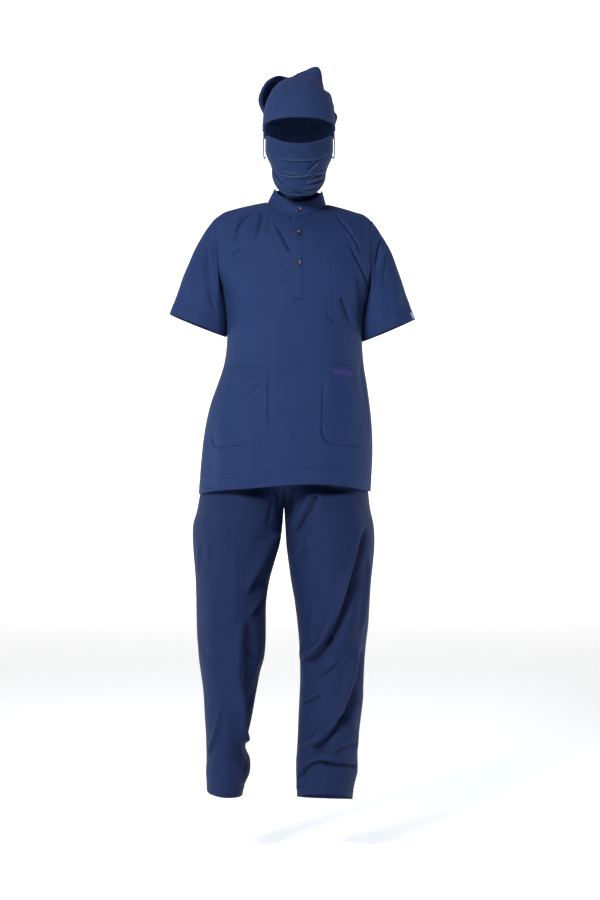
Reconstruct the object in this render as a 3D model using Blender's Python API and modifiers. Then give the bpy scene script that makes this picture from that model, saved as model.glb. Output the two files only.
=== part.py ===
"""Medical scrubs: navy tunic, trousers, soft cap and pleated mask, hollow and in the pose of wear.

Metres, +Z up. The front faces -Y and the wearer's left is +X. The origin is the point on the
shoulder line, at the base of the neck, from which the set hangs. Every cloth piece is a grid of
points worked out from the section tables below, and a Solidify modifier gives it its wall.
"""
from collections import namedtuple
from math import cos, pi, radians, sin, sqrt, tau

import bmesh
import bpy
import numpy as np
from mathutils import Matrix, Vector

# ---- cloth and seams ---------------------------------------------------------------------
CLOTH = 0.0014              # wall of a single cloth panel
PATCH_CLOTH = 0.0012        # wall of a pocket, placket or label
SEAM_GAP = 0.0003           # gap between neighbouring pieces at a seam
HALF_GAP = SEAM_GAP / 2
PATCH_LIFT = CLOTH + 0.0006  # a patch lies this far above its panel's inner face
PROBE = 0.0005              # step of the slopes taken on a surface

# ---- tunic body --------------------------------------------------------------------------
TorsoRow = namedtuple("TorsoRow", "height left right front back")
TORSO_ROWS = (  # side edges up to the underarm, armhole edges above it
    TorsoRow(-0.640, -0.2190, 0.1560, 0.148, 0.132),
    TorsoRow(-0.600, -0.2167, 0.1584, 0.146, 0.132),
    TorsoRow(-0.560, -0.2134, 0.1606, 0.144, 0.132),
    TorsoRow(-0.520, -0.2090, 0.1606, 0.142, 0.131),
    TorsoRow(-0.480, -0.2024, 0.1584, 0.140, 0.129),
    TorsoRow(-0.440, -0.1925, 0.1540, 0.137, 0.125),
    TorsoRow(-0.400, -0.1782, 0.1485, 0.134, 0.120),
    TorsoRow(-0.360, -0.1650, 0.1420, 0.132, 0.115),
    TorsoRow(-0.320, -0.1585, 0.1385, 0.130, 0.112),
    TorsoRow(-0.280, -0.1572, 0.1378, 0.129, 0.111),
    TorsoRow(-0.240, -0.1600, 0.1430, 0.128, 0.112),
    TorsoRow(-0.195, -0.1690, 0.1560, 0.128, 0.114),
    TorsoRow(-0.150, -0.1745, 0.1585, 0.128, 0.115),
    TorsoRow(-0.100, -0.1790, 0.1565, 0.128, 0.115),
    TorsoRow(-0.036, -0.1845, 0.1560, 0.128, 0.115),
    TorsoRow(0.060, -0.1845, 0.1560, 0.128, 0.115),
)
UNDERARM_HEIGHT = -0.195
ARMHOLE_SPREAD = 0.075      # how far the section reaches past the armhole edge, as a share
ARMHOLE_RISE = 0.050        # height over which that reach grows from the underarm
FRONT_SQUARENESS = 2.35
BACK_SQUARENESS = 2.6

ShoulderPoint = namedtuple("ShoulderPoint", "across height")
SHOULDER_LINE = (
    ShoulderPoint(-0.1845, -0.0360),
    ShoulderPoint(-0.1650, -0.0225),
    ShoulderPoint(-0.1440, -0.0155),
    ShoulderPoint(-0.1110, -0.0075),
    ShoulderPoint(-0.0704, 0.0005),
    ShoulderPoint(-0.0048, 0.0050),
    ShoulderPoint(0.0609, -0.0045),
    ShoulderPoint(0.1023, -0.0150),
    ShoulderPoint(0.1232, -0.0215),
    ShoulderPoint(0.1421, -0.0275),
    ShoulderPoint(0.1560, -0.0380),
)
SHOULDER_ROUNDING = 0.170   # drop below the shoulder line over which the body fills out
SHOULDER_SHAPE = 0.75
SHOULDER_END = -0.036       # height of both shoulder points
NAPE_RISE = 0.045           # how far the upper back climbs behind the neck
NAPE_SHAPE = 1.15

HemPoint = namedtuple("HemPoint", "across height")
TUNIC_HEM = (  # the front hem hangs higher in the middle
    HemPoint(-0.2190, -0.6400),
    HemPoint(-0.1900, -0.6330),
    HemPoint(-0.1500, -0.6285),
    HemPoint(-0.0900, -0.6240),
    HemPoint(-0.0100, -0.6175),
    HemPoint(0.0650, -0.6180),
    HemPoint(0.1150, -0.6250),
    HemPoint(0.1560, -0.6345),
)

# ---- neck and collar ---------------------------------------------------------------------
NECK_CENTRE = -0.0048
NECK_HALF_WIDTH = 0.0657
NECK_FRONT = 0.066
NECK_BACK = 0.052
COLLAR_HEIGHT = 0.0315
COLLAR_TOP_CENTRE = -0.0015
COLLAR_TOP_HALF_WIDTH = 0.0535
COLLAR_TOP_FRONT = 0.0555
COLLAR_TOP_BACK = 0.0440
COLLAR_WALL = 0.0018
COLLAR_INSET = 0.0012       # how far the band stands inside the faceted neck hole
COLLAR_START = radians(-11)     # free end of the top layer, from the front middle
COLLAR_END = radians(368)       # free end of the under layer
COLLAR_TUCK = radians(300)      # from here on the band slips under itself
COLLAR_TUCKED = radians(343)    # and here it has

# ---- folds -------------------------------------------------------------------------------
Fold = namedtuple("Fold", "x0 z0 x1 z1 x2 z2 width depth")   # start, middle and end of its line
FOLD_STEPS = 20             # places along a fold's line
FOLD_END = 0.08             # share of a half wave left out at each end of a fold
FRONT_FOLDS = (  # positive depth stands proud
    Fold(-0.094, -0.010, -0.128, -0.040, -0.143, -0.090, 0.013, -0.0040),
    Fold(-0.084, -0.022, -0.098, -0.055, -0.100, -0.095, 0.011, 0.0030),
    Fold(-0.150, -0.115, -0.135, -0.100, -0.108, -0.110, 0.015, 0.0040),
    Fold(-0.053, -0.040, -0.036, -0.085, -0.016, -0.120, 0.010, -0.0025),
    Fold(0.092, -0.030, 0.115, -0.070, 0.136, -0.115, 0.012, 0.0040),
    Fold(0.112, -0.085, 0.130, -0.125, 0.146, -0.170, 0.011, -0.0035),
    Fold(0.095, -0.215, 0.106, -0.255, 0.118, -0.320, 0.014, -0.0035),
    Fold(-0.150, -0.210, -0.140, -0.250, -0.128, -0.290, 0.022, -0.0050),
    Fold(-0.080, -0.370, -0.130, -0.420, -0.162, -0.500, 0.016, -0.0040),
    Fold(0.066, -0.415, 0.085, -0.440, 0.112, -0.470, 0.014, 0.0030),
    Fold(0.112, -0.300, 0.134, -0.380, 0.145, -0.450, 0.016, 0.0050),
)
BACK_FOLDS = (
    Fold(-0.150, -0.130, -0.110, -0.180, -0.050, -0.210, 0.020, -0.0040),
    Fold(0.140, -0.120, 0.095, -0.175, 0.040, -0.200, 0.018, -0.0040),
    Fold(-0.130, -0.330, -0.070, -0.370, 0.020, -0.380, 0.022, 0.0050),
    Fold(0.125, -0.350, 0.060, -0.395, -0.030, -0.410, 0.020, -0.0045),
    Fold(-0.120, -0.450, -0.110, -0.530, -0.125, -0.620, 0.022, 0.0050),
    Fold(0.050, -0.460, 0.070, -0.540, 0.065, -0.620, 0.024, 0.0050),
)

# ---- patches on the front ----------------------------------------------------------------
Corner = namedtuple("Corner", "across height")   # outlines in the front view
CHEST_POCKET = (
    Corner(0.0555, -0.1395),
    Corner(0.1290, -0.1395),
    Corner(0.1275, -0.2500),
    Corner(0.1260, -0.2840),
    Corner(0.1120, -0.2765),
    Corner(0.0800, -0.2755),
    Corner(0.0690, -0.2650),
    Corner(0.0575, -0.2520),
    Corner(0.0565, -0.2050),
)
HIP_POCKET_RIGHT = (
    Corner(-0.1600, -0.3680),
    Corner(-0.0640, -0.3670),
    Corner(-0.0640, -0.4880),
    Corner(-0.0690, -0.5110),
    Corner(-0.0860, -0.5350),
    Corner(-0.1500, -0.5370),
    Corner(-0.1880, -0.5390),
    Corner(-0.1880, -0.4850),
    Corner(-0.1800, -0.4400),
    Corner(-0.1680, -0.4020),
)
HIP_POCKET_LEFT = (
    Corner(0.0610, -0.3600),
    Corner(0.1360, -0.3640),
    Corner(0.1420, -0.4000),
    Corner(0.1490, -0.4500),
    Corner(0.1510, -0.4900),
    Corner(0.1500, -0.5370),
    Corner(0.0820, -0.5330),
    Corner(0.0700, -0.5300),
    Corner(0.0545, -0.5070),
    Corner(0.0512, -0.4600),
    Corner(0.0514, -0.4150),
    Corner(0.0550, -0.3800),
)
PLACKET = (
    Corner(-0.0178, 0.0300),
    Corner(0.0070, 0.0300),
    Corner(0.0075, -0.0500),
    Corner(0.0090, -0.1450),
    Corner(0.0105, -0.2185),
    Corner(-0.0155, -0.2185),
    Corner(-0.0170, -0.0900),
)
LABEL = (
    Corner(0.0697, -0.3680),
    Corner(0.1122, -0.3728),
    Corner(0.1136, -0.3857),
    Corner(0.0711, -0.3809),
)
POCKET_GAPE = 0.0030        # how far a pocket's mouth stands off the front
POCKET_GAPE_DEPTH = 0.060   # how far down the mouth's slack reaches
LABEL_CLOTH = 0.0008
PATCH_REACH = (-0.30, -0.01)    # the outlines cut from here to here in y

# ---- buttons -----------------------------------------------------------------------------
BUTTON_RADIUS = 0.0062
BUTTON_THICKNESS = 0.0026
BUTTON_RIM = 0.0012
BUTTON_DISH = 0.0007
BUTTON_EDGE = 0.0003        # rounding of the rim's outer edge
BUTTON_SLOPE = 0.0006       # width of the step down into the dish
BUTTON_FOOT = 0.0010        # how far the underside runs inside the rim
BUTTON_WAIST = 0.6          # height of the widest ring, as a share of the thickness
BUTTON_HOLE_RADIUS = 0.0008
BUTTON_HOLE_REACH = 0.0017
BUTTON_SIDES = 14
COLLAR_BUTTON_ANGLE = radians(3)
COLLAR_BUTTON_RISE = 0.42
COLLAR_BUTTON_SEAT = 0.0009     # how far a button's back stands off the cloth
FRONT_BUTTON_SEAT = 0.0006
FRONT_BUTTONS = ((-0.0035, -0.0796), (-0.0015, -0.1431))
TANGENT_ANGLE = 0.04            # steps over which a button's tilt is taken
TANGENT_RISE = 0.2
TANGENT_STEP = 0.004

# ---- sleeves -----------------------------------------------------------------------------
Sleeve = namedtuple("Sleeve", "side outer_x outer_z inner_x inner_z half_depth")
SLEEVES = {
    "sleeve_right": Sleeve(-1, -0.2831, -0.2460, -0.1645, -0.2935, 0.058),
    "sleeve_left": Sleeve(1, 0.2543, -0.2565, 0.1445, -0.3040, 0.057),
}
SLEEVE_TOP_WAY = (0.66, -0.75)      # the way the cloth leaves the shoulder: out and down
SLEEVE_UNDER_WAY = (0.42, -0.90)    # and the underarm
SLEEVE_FORWARD = 0.22               # how far that way leans to the front and the back
SEAT_START = 0.35                   # share of the way to the underarm where the sleeve moves out
SEAT_SPAN = 0.55
SEAT_CLEARANCE = 2 * CLOTH + 4 * SEAM_GAP
SLEEVE_LABEL = (  # on the left sleeve, just above its hem
    Corner(0.2415, -0.2400),
    Corner(0.2465, -0.2380),
    Corner(0.2515, -0.2500),
    Corner(0.2465, -0.2520),
)

# ---- trousers ----------------------------------------------------------------------------
WAIST_HEIGHT = -0.400
CROTCH_HEIGHT = -0.676
FORK_TOP = -0.585
SEAT_SEAM = -0.0331
PelvisRow = namedtuple("PelvisRow", "height left right front back")
PELVIS_ROWS = (
    PelvisRow(-0.680, -0.2235, 0.1560, 0.118, 0.118),
    PelvisRow(-0.640, -0.2125, 0.1500, 0.117, 0.119),
    PelvisRow(-0.600, -0.2060, 0.1490, 0.116, 0.121),
    PelvisRow(-0.550, -0.1980, 0.1480, 0.114, 0.122),
    PelvisRow(-0.500, -0.1890, 0.1450, 0.111, 0.119),
    PelvisRow(-0.450, -0.1760, 0.1380, 0.106, 0.110),
    PelvisRow(-0.400, -0.1600, 0.1280, 0.098, 0.100),
    PelvisRow(-0.365, -0.1600, 0.1280, 0.098, 0.100),
)
LegRow = namedtuple("LegRow", "height outer inner front back")
LEG_ROWS = {
    "right": (
        LegRow(-1.330, -0.2010, -0.1250, 0.070, 0.080),
        LegRow(-1.300, -0.2013, -0.1254, 0.071, 0.080),
        LegRow(-1.275, -0.2017, -0.1195, 0.072, 0.080),
        LegRow(-1.250, -0.2028, -0.1093, 0.073, 0.081),
        LegRow(-1.225, -0.2020, -0.1096, 0.074, 0.082),
        LegRow(-1.200, -0.2024, -0.1190, 0.075, 0.082),
        LegRow(-1.170, -0.2031, -0.1137, 0.076, 0.083),
        LegRow(-1.130, -0.2055, -0.1049, 0.078, 0.084),
        LegRow(-1.090, -0.2075, -0.0979, 0.080, 0.085),
        LegRow(-1.060, -0.2105, -0.0924, 0.082, 0.086),
        LegRow(-1.030, -0.2149, -0.0865, 0.084, 0.087),
        LegRow(-1.000, -0.2189, -0.0781, 0.086, 0.088),
        LegRow(-0.970, -0.2211, -0.0750, 0.088, 0.089),
        LegRow(-0.930, -0.2233, -0.0741, 0.091, 0.092),
        LegRow(-0.880, -0.2244, -0.0733, 0.096, 0.097),
        LegRow(-0.830, -0.2255, -0.0660, 0.101, 0.103),
        LegRow(-0.790, -0.2288, -0.0550, 0.106, 0.108),
        LegRow(-0.750, -0.2319, -0.0433, 0.111, 0.113),
        LegRow(-0.708, -0.2315, -0.0375, 0.115, 0.116),
        LegRow(-0.672, -0.2220, -0.0350, 0.117, 0.118),
        LegRow(-0.580, -0.2220, -0.0350, 0.117, 0.118),
    ),
    "left": (
        LegRow(-1.330, 0.1150, -0.0020, 0.072, 0.080),
        LegRow(-1.300, 0.1173, -0.0029, 0.072, 0.080),
        LegRow(-1.275, 0.1214, -0.0044, 0.073, 0.080),
        LegRow(-1.250, 0.1272, -0.0053, 0.074, 0.081),
        LegRow(-1.225, 0.1276, -0.0048, 0.075, 0.082),
        LegRow(-1.200, 0.1276, -0.0031, 0.076, 0.082),
        LegRow(-1.170, 0.1302, -0.0015, 0.077, 0.083),
        LegRow(-1.130, 0.1349, 0.0000, 0.079, 0.084),
        LegRow(-1.090, 0.1395, 0.0020, 0.081, 0.085),
        LegRow(-1.060, 0.1404, 0.0035, 0.083, 0.086),
        LegRow(-1.030, 0.1417, 0.0037, 0.085, 0.087),
        LegRow(-1.000, 0.1434, 0.0031, 0.087, 0.088),
        LegRow(-0.970, 0.1459, 0.0018, 0.089, 0.089),
        LegRow(-0.930, 0.1507, -0.0015, 0.092, 0.092),
        LegRow(-0.880, 0.1540, -0.0077, 0.096, 0.097),
        LegRow(-0.830, 0.1575, -0.0165, 0.101, 0.103),
        LegRow(-0.790, 0.1617, -0.0220, 0.106, 0.108),
        LegRow(-0.750, 0.1648, -0.0268, 0.111, 0.113),
        LegRow(-0.708, 0.1628, -0.0292, 0.115, 0.116),
        LegRow(-0.672, 0.1550, -0.0312, 0.117, 0.118),
        LegRow(-0.580, 0.1550, -0.0312, 0.117, 0.118),
    ),
}
LEG_SQUARENESS = 2.15
PELVIS_SQUARENESS = 2.3
LegHem = namedtuple("LegHem", "outer front inner back")
LEG_HEMS = {
    "right": LegHem(-1.288, -1.296, -1.300, -1.318),
    "left": LegHem(-1.312, -1.288, -1.306, -1.324),
}
LEG_FOLDS = {
    "right": (
        Fold(-0.040, -0.700, -0.066, -0.775, -0.115, -0.860, 0.016, -0.0060),
        Fold(-0.074, -0.840, -0.100, -0.885, -0.118, -0.915, 0.014, -0.0045),
        Fold(-0.128, -0.930, -0.142, -1.000, -0.140, -1.120, 0.018, 0.0050),
        Fold(-0.172, -1.110, -0.178, -1.170, -0.196, -1.225, 0.010, 0.0040),
        Fold(-0.128, -1.060, -0.128, -1.130, -0.130, -1.190, 0.012, -0.0050),
        Fold(-0.200, -1.228, -0.165, -1.245, -0.115, -1.240, 0.010, 0.0045),
    ),
    "left": (
        Fold(0.036, -0.640, 0.006, -0.690, -0.018, -0.725, 0.014, -0.0040),
        Fold(0.142, -0.715, 0.112, -0.830, 0.070, -0.950, 0.018, -0.0070),
        Fold(0.092, -0.930, 0.050, -0.985, 0.012, -1.005, 0.014, -0.0050),
        Fold(0.122, -1.000, 0.095, -1.110, 0.040, -1.185, 0.014, -0.0060),
        Fold(0.044, -1.150, 0.025, -1.185, 0.000, -1.205, 0.009, 0.0045),
        Fold(0.004, -1.262, 0.050, -1.235, 0.118, -1.245, 0.011, -0.0060),
    ),
}
CREASE_HEIGHT = 0.0035      # the pressed crease down each leg
CREASE_HALF_WIDTH = 0.16    # as a share of the way round the front
CREASE_TOP = -0.68          # the crease fades in from here
CREASE_FADE = 0.12
FORK_SHAPE = 0.8
FORK_CLEAR = 1.2
FORK_REACH = 0.05           # how far below the crotch the panels still keep to their side
BACK_FOLD_RISE = 0.035      # the folds go on over the back, higher and shallower
BACK_FOLD_SHARE = 0.8

WAISTBAND_TOP = -0.366
WAISTBAND_WALL = 0.0030

# ---- cap ---------------------------------------------------------------------------------
CAP_CENTRE = (0.0000, -0.0120, 0.1600)
CAP_HALF_WIDTH = 0.0785
CAP_HALF_DEPTH = 0.1000
CAP_RISE = 0.1130
CAP_SQUARENESS = 2.3
BRIM_FRONT = 0.0100         # brim height above the cap's centre, in front
BRIM_BACK = -0.0300         # and at the nape
CAP_WALL = 0.0015
CAP_BRIM_REACH = 0.090      # the brim's distance from the cap's middle
CAP_TOP_CLIMB = radians(86)
CAP_INSET = 0.0034          # how far the crown runs inside the front panel
CAP_EDGE_MARGIN = 7         # degrees that the crown stays under past the panel's edge
CAP_EDGE_FADE = 9           # degrees over which it comes out from under
CAP_SIDE_TURN = 92          # degrees from the front middle to the panel's side edges
CAP_SIDE_MARGIN = 8
CAP_SIDE_FADE = 8
CapLobe = namedtuple("CapLobe", "azimuth climb size reach")
CAP_LOBES = (  # degrees: azimuth 0 is the wearer's left, 90 the back, 180 the right
    CapLobe(151, 38, 8, 0.0270),
    CapLobe(150, 50, 9, 0.0170),
    CapLobe(148, 62, 10, 0.0190),
    CapLobe(27, 71, 8, 0.0320),
    CapLobe(60, 82, 9, 0.0150),
    CapLobe(32, 46, 9, 0.0130),
    CapLobe(22, 32, 9, 0.0060),
    CapLobe(16, 20, 7, 0.0090),
)
CapEdge = namedtuple("CapEdge", "turn climb")
CAP_FRONT_EDGE = (  # upper edge of the front panel, turn from the front middle to the left
    CapEdge(-92, 79),
    CapEdge(-60, 80),
    CapEdge(-30, 78),
    CapEdge(-14, 73),
    CapEdge(10, 62),
    CapEdge(22, 53),
    CapEdge(50, 50),
    CapEdge(75, 50),
    CapEdge(92, 47),
)

# ---- mask --------------------------------------------------------------------------------
MaskRow = namedtuple("MaskRow", "height left right side_y front_y")
MASK_ROWS = (  # height on the middle line
    MaskRow(0.1120, -0.0715, 0.0730, -0.040, -0.124),
    MaskRow(0.0940, -0.0722, 0.0732, -0.038, -0.128),
    MaskRow(0.0760, -0.0715, 0.0725, -0.036, -0.128),
    MaskRow(0.0640, -0.0670, 0.0700, -0.035, -0.126),
    MaskRow(0.0530, -0.0620, 0.0650, -0.035, -0.124),
    MaskRow(0.0430, -0.0585, 0.0610, -0.036, -0.121),
    MaskRow(0.0300, -0.0580, 0.0575, -0.039, -0.115),
    MaskRow(0.0180, -0.0560, 0.0560, -0.043, -0.107),
    MaskRow(0.0040, -0.0505, 0.0505, -0.050, -0.096),
)
MASK_SIDE_RISE = 0.0280     # the sides of every row climb this far towards the ears
MASK_TOP_BEND = 2.2
MASK_LOW_BEND = 3.6
MASK_SQUARENESS = 2.2
MASK_PLEATS = (0.34, 0.66, 0.92)    # share of the way down to each pleat's edge
MASK_PLEAT_SPAN = 0.22
MASK_PLEAT_STEP = 0.0028
MASK_WALL = 0.0014
MASK_EDGE = 0.97            # the side edges stop this share of a quarter turn round
PLEAT_SQUARENESS = 4
EAR_LOOP_RADIUS = 0.0014
EAR_LOOP_STEPS = 18
EarLoopPoint = namedtuple("EarLoopPoint", "out back height")
EAR_LOOP = (  # from the mask's upper corner round the ear to its side
    EarLoopPoint(0.0768, -0.0350, 0.1365),
    EarLoopPoint(0.0772, -0.0200, 0.1420),
    EarLoopPoint(0.0778, -0.0020, 0.1430),
    EarLoopPoint(0.0784, 0.0120, 0.1350),
    EarLoopPoint(0.0782, 0.0160, 0.1210),
    EarLoopPoint(0.0776, 0.0100, 0.1060),
    EarLoopPoint(0.0770, -0.0060, 0.0970),
    EarLoopPoint(0.0766, -0.0240, 0.0945),
)

NAVY = (0.026, 0.046, 0.142, 1.0)
DEEP_NAVY = (0.018, 0.030, 0.100, 1.0)
VIOLET = (0.165, 0.155, 0.420, 1.0)
PLUM = (0.035, 0.028, 0.075, 1.0)
ELASTIC_BLUE = (0.020, 0.035, 0.110, 1.0)


# ---- numbers -----------------------------------------------------------------------------
def smooth_curve(xs, ys, at):
    """Values at the places `at` of a smooth curve through the points xs, ys."""
    xs = np.asarray(xs, float)
    ys = np.asarray(ys, float)
    at = np.clip(at, xs[0], xs[-1])
    slopes = np.gradient(ys, xs)
    left = np.clip(np.searchsorted(xs, at, side="right") - 1, 0, len(xs) - 2)
    span = xs[left + 1] - xs[left]
    f = (at - xs[left]) / span
    return ((2 * f**3 - 3 * f**2 + 1) * ys[left] + (f**3 - 2 * f**2 + f) * span * slopes[left]
            + (3 * f**2 - 2 * f**3) * ys[left + 1] + (f**3 - f**2) * span * slopes[left + 1])


def column(rows, name, at, key="height"):
    """One named column of a table, read at the given places of its key column."""
    ordered = sorted(rows, key=lambda row: getattr(row, key))
    return smooth_curve([getattr(row, key) for row in ordered],
                        [getattr(row, name) for row in ordered], at)


def ease(t):
    """A smooth step from 0 to 1."""
    t = np.clip(t, 0.0, 1.0)
    return t * t * (3 - 2 * t)


def dome(u, squareness):
    """Height of a unit superellipse at u from its middle."""
    return (1 - np.minimum(np.abs(u), 1.0) ** squareness) ** (1 / squareness)


def fold_relief(folds, x, z):
    """How far the folds of a table move the cloth out at the places x, z of its front view."""
    relief = np.zeros(np.broadcast(x, z).shape)
    steps = np.linspace(0, 1, FOLD_STEPS + 1)
    for fold in folds:
        line_x = (1 - steps)**2 * fold.x0 + 2 * steps * (1 - steps) * fold.x1 + steps**2 * fold.x2
        line_z = (1 - steps)**2 * fold.z0 + 2 * steps * (1 - steps) * fold.z1 + steps**2 * fold.z2
        away = np.hypot(x[..., None] - line_x, z[..., None] - line_z)
        nearest = away.argmin(axis=-1)
        taper = np.sin(pi * (FOLD_END + (1 - 2 * FOLD_END) * nearest / FOLD_STEPS))
        relief += fold.depth * taper * np.exp(-(away.min(axis=-1) / fold.width) ** 2)
    return relief


# ---- tunic surfaces ----------------------------------------------------------------------
def shoulder_height(x):
    """Height of the shoulder line at x."""
    return column(SHOULDER_LINE, "height", x, key="across")


def body_top(x, facing):
    """Height at x where the tunic's section closes; the back climbs behind the neck."""
    top = shoulder_height(x)
    if facing > 0:
        u = np.clip((x - NECK_CENTRE) / NECK_HALF_WIDTH, -1, 1)
        top = top + NAPE_RISE * (1 - u * u) ** NAPE_SHAPE
    return top


def torso_depth(x, z, facing):
    """The y of the tunic at x, z: facing is -1 for the front and 1 for the back."""
    left = column(TORSO_ROWS, "left", z)
    right = column(TORSO_ROWS, "right", z)
    spread = 1 + ARMHOLE_SPREAD * ease((z - UNDERARM_HEIGHT) / ARMHOLE_RISE)
    u = (x - (left + right) / 2) / ((right - left) / 2 * spread)
    squareness = FRONT_SQUARENESS if facing < 0 else BACK_SQUARENESS
    depth = column(TORSO_ROWS, "front" if facing < 0 else "back", z)
    drop = np.clip((body_top(x, facing) - z) / SHOULDER_ROUNDING, 0, 1)
    return facing * depth * dome(u, squareness) * (1 - (1 - drop) ** 2) ** SHOULDER_SHAPE


def torso_points(x, z, facing, lift=0.0):
    """Points of the tunic at x, z, with its folds, moved out by lift, one number or many."""
    y = torso_depth(x, z, facing)
    slope_x = (torso_depth(x + PROBE, z, facing) - torso_depth(x - PROBE, z, facing)) / (2 * PROBE)
    slope_z = (torso_depth(x, z + PROBE, facing) - torso_depth(x, z - PROBE, facing)) / (2 * PROBE)
    normal = np.stack([-facing * slope_x, np.full_like(y, facing), -facing * slope_z], axis=-1)
    normal /= np.linalg.norm(normal, axis=-1, keepdims=True)
    folds = FRONT_FOLDS if facing < 0 else BACK_FOLDS
    out = lift + fold_relief(folds, x, z)
    return np.stack([x, y, z], axis=-1) + normal * out[..., None]


def neckline(turn):
    """Neck hole at each turn, 0 at the front middle, a quarter at the wearer's left."""
    turn = np.asarray(turn, float)
    facing = np.where(np.cos(turn) > 0, -1.0, 1.0)
    x = NECK_CENTRE + NECK_HALF_WIDTH * np.sin(turn)
    y = -np.cos(turn) * np.where(facing < 0, NECK_FRONT, NECK_BACK)
    height = np.zeros_like(x)
    for side in (-1.0, 1.0):
        top = body_top(x, side)
        depth = np.abs(torso_depth(x, top - SHOULDER_ROUNDING, side))
        share = np.clip(np.abs(y) / depth, 0, 1) ** (1 / SHOULDER_SHAPE)
        level = top - SHOULDER_ROUNDING * (1 - np.sqrt(1 - share))
        height = np.where(facing == side, level, height)
    return np.stack([x, y, height], axis=-1)


def torso_columns(facing, shoulder_steps, neck_steps):
    """Top edge of a tunic panel: x and z along one shoulder, the neckline and the other."""
    ends = [column(TORSO_ROWS, side, SHOULDER_END) for side in ("left", "right")]
    turns = np.linspace(-pi / 2, pi / 2, neck_steps + 1)
    neck = neckline(turns if facing < 0 else pi - turns)
    fade = 1 - np.cos(np.linspace(0, pi / 2, shoulder_steps + 1))
    left_x = ends[0] + (neck[0, 0] - ends[0]) * fade
    right_x = ends[1] + (neck[-1, 0] - ends[1]) * fade[::-1]
    x = np.concatenate([left_x[:-1], neck[:, 0], right_x[1:]])
    z = np.concatenate([shoulder_height(left_x[:-1]), neck[:, 2], shoulder_height(right_x[1:])])
    return x, z


def hem_height(x, facing):
    """Height of the tunic's hem at x; the back hem runs level between the side seams."""
    ends = TUNIC_HEM[0].height, TUNIC_HEM[-1].height
    if facing < 0:
        return column(TUNIC_HEM, "height", x, key="across")
    return np.interp(x, [TUNIC_HEM[0].across, TUNIC_HEM[-1].across], ends)


def torso_grid(facing, lift=None, shoulder_steps=6, neck_steps=10, lower_rows=13, upper_rows=8):
    """Grid of a tunic panel from its hem to its shoulders and neckline, moved out by lift."""
    top_x, top_z = torso_columns(facing, shoulder_steps, neck_steps)
    left, right = (column(TORSO_ROWS, side, top_z) for side in ("left", "right"))
    u = (top_x - (left + right) / 2) / ((right - left) / 2)
    u[0], u[-1] = -1.0, 1.0
    ends = TORSO_ROWS[0].left, TORSO_ROWS[0].right
    hem = hem_height(sum(ends) / 2 + (ends[1] - ends[0]) / 2 * u, facing)
    rows = []
    for step in range(lower_rows + upper_rows + 1):
        if step <= lower_rows:
            z = hem + (UNDERARM_HEIGHT - hem) * step / lower_rows
        else:
            z = UNDERARM_HEIGHT + (top_z - UNDERARM_HEIGHT) * (step - lower_rows) / upper_rows
        left, right = (column(TORSO_ROWS, side, z) for side in ("left", "right"))
        x = (left + right) / 2 + (right - left) / 2 * u
        points = torso_points(x, z, facing, lift(x, z) if lift else 0.0)
        points[..., 1] = facing * np.maximum(facing * points[..., 1], HALF_GAP)
        rows.append(points)
    return np.array(rows)


# ---- sleeve surfaces ---------------------------------------------------------------------
def armhole(side, turns):
    """Armhole edge: turn 0 at the shoulder, a quarter at the front, a half at the underarm."""
    name = "left" if side < 0 else "right"
    top = float(shoulder_height(column(TORSO_ROWS, name, SHOULDER_END)))
    z = UNDERARM_HEIGHT + (top - UNDERARM_HEIGHT) * (1 + np.cos(turns)) / 2
    x = column(TORSO_ROWS, name, z)
    y = np.where(np.sin(turns) >= 0, torso_depth(x, z, -1), torso_depth(x, z, 1))
    return np.stack([x, y, z], axis=-1)


def sleeve_points(cut, turns, travel):
    """Points of a sleeve at each turn round it and share of the way down it."""
    edge = armhole(cut.side, turns)
    outer = np.array([cut.outer_x, 0.0, cut.outer_z])
    inner = np.array([cut.inner_x, 0.0, cut.inner_z])
    across = (outer - inner) / 2
    hem = ((outer + inner) / 2 + across * np.cos(turns)[:, None]
           + np.array([0.0, -cut.half_depth, 0.0]) * np.sin(turns)[:, None])
    under = ((1 - np.cos(turns)) / 2)[:, None]
    top_way = np.array([cut.side * SLEEVE_TOP_WAY[0], 0.0, SLEEVE_TOP_WAY[1]])
    under_way = np.array([cut.side * SLEEVE_UNDER_WAY[0], 0.0, SLEEVE_UNDER_WAY[1]])
    start_way = ((1 - under) * top_way + under * under_way
                 - np.array([0.0, SLEEVE_FORWARD, 0.0]) * np.sin(turns)[:, None])
    start_way /= np.linalg.norm(start_way, axis=1, keepdims=True)
    end_way = np.array([across[2] * cut.side, 0.0, -across[0] * cut.side])
    end_way /= np.linalg.norm(end_way) * -np.sign(end_way[2])
    length = np.linalg.norm(hem - edge, axis=1, keepdims=True)
    edge = edge + seat_of_sleeve(cut.side, turns, start_way)
    f = travel
    return ((2 * f**3 - 3 * f**2 + 1) * edge + (f**3 - 2 * f**2 + f) * length * start_way
            + (3 * f**2 - 2 * f**3) * hem + (f**3 - f**2) * length * end_way)


def seat_of_sleeve(side, turns, start_way):
    """How far the sleeve's first ring stands clear of the armhole's edge."""
    under = ease(((1 - np.cos(turns)) / 2 - SEAT_START) / SEAT_SPAN)[:, None]
    aside = np.array([side, 0.0, 0.0]) * SEAT_CLEARANCE
    return (1 - under) * start_way * (CLOTH + SEAM_GAP) + under * aside


def sleeve_grid(cut, lift=0.0, round_steps=24, rows=8):
    """Grid of a sleeve: closed rings from the armhole to the hem, moved out by lift."""
    turns = np.linspace(0, tau, round_steps, endpoint=False)
    rings = [sleeve_points(cut, turns, row / rows) for row in range(rows + 1)]
    if lift:
        spine = [ring.mean(axis=0) for ring in rings]
        rings = [ring + lift * (ring - middle) / np.linalg.norm(ring - middle, axis=1)[:, None]
                 for ring, middle in zip(rings, spine)]
    return np.array(rings)


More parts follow.
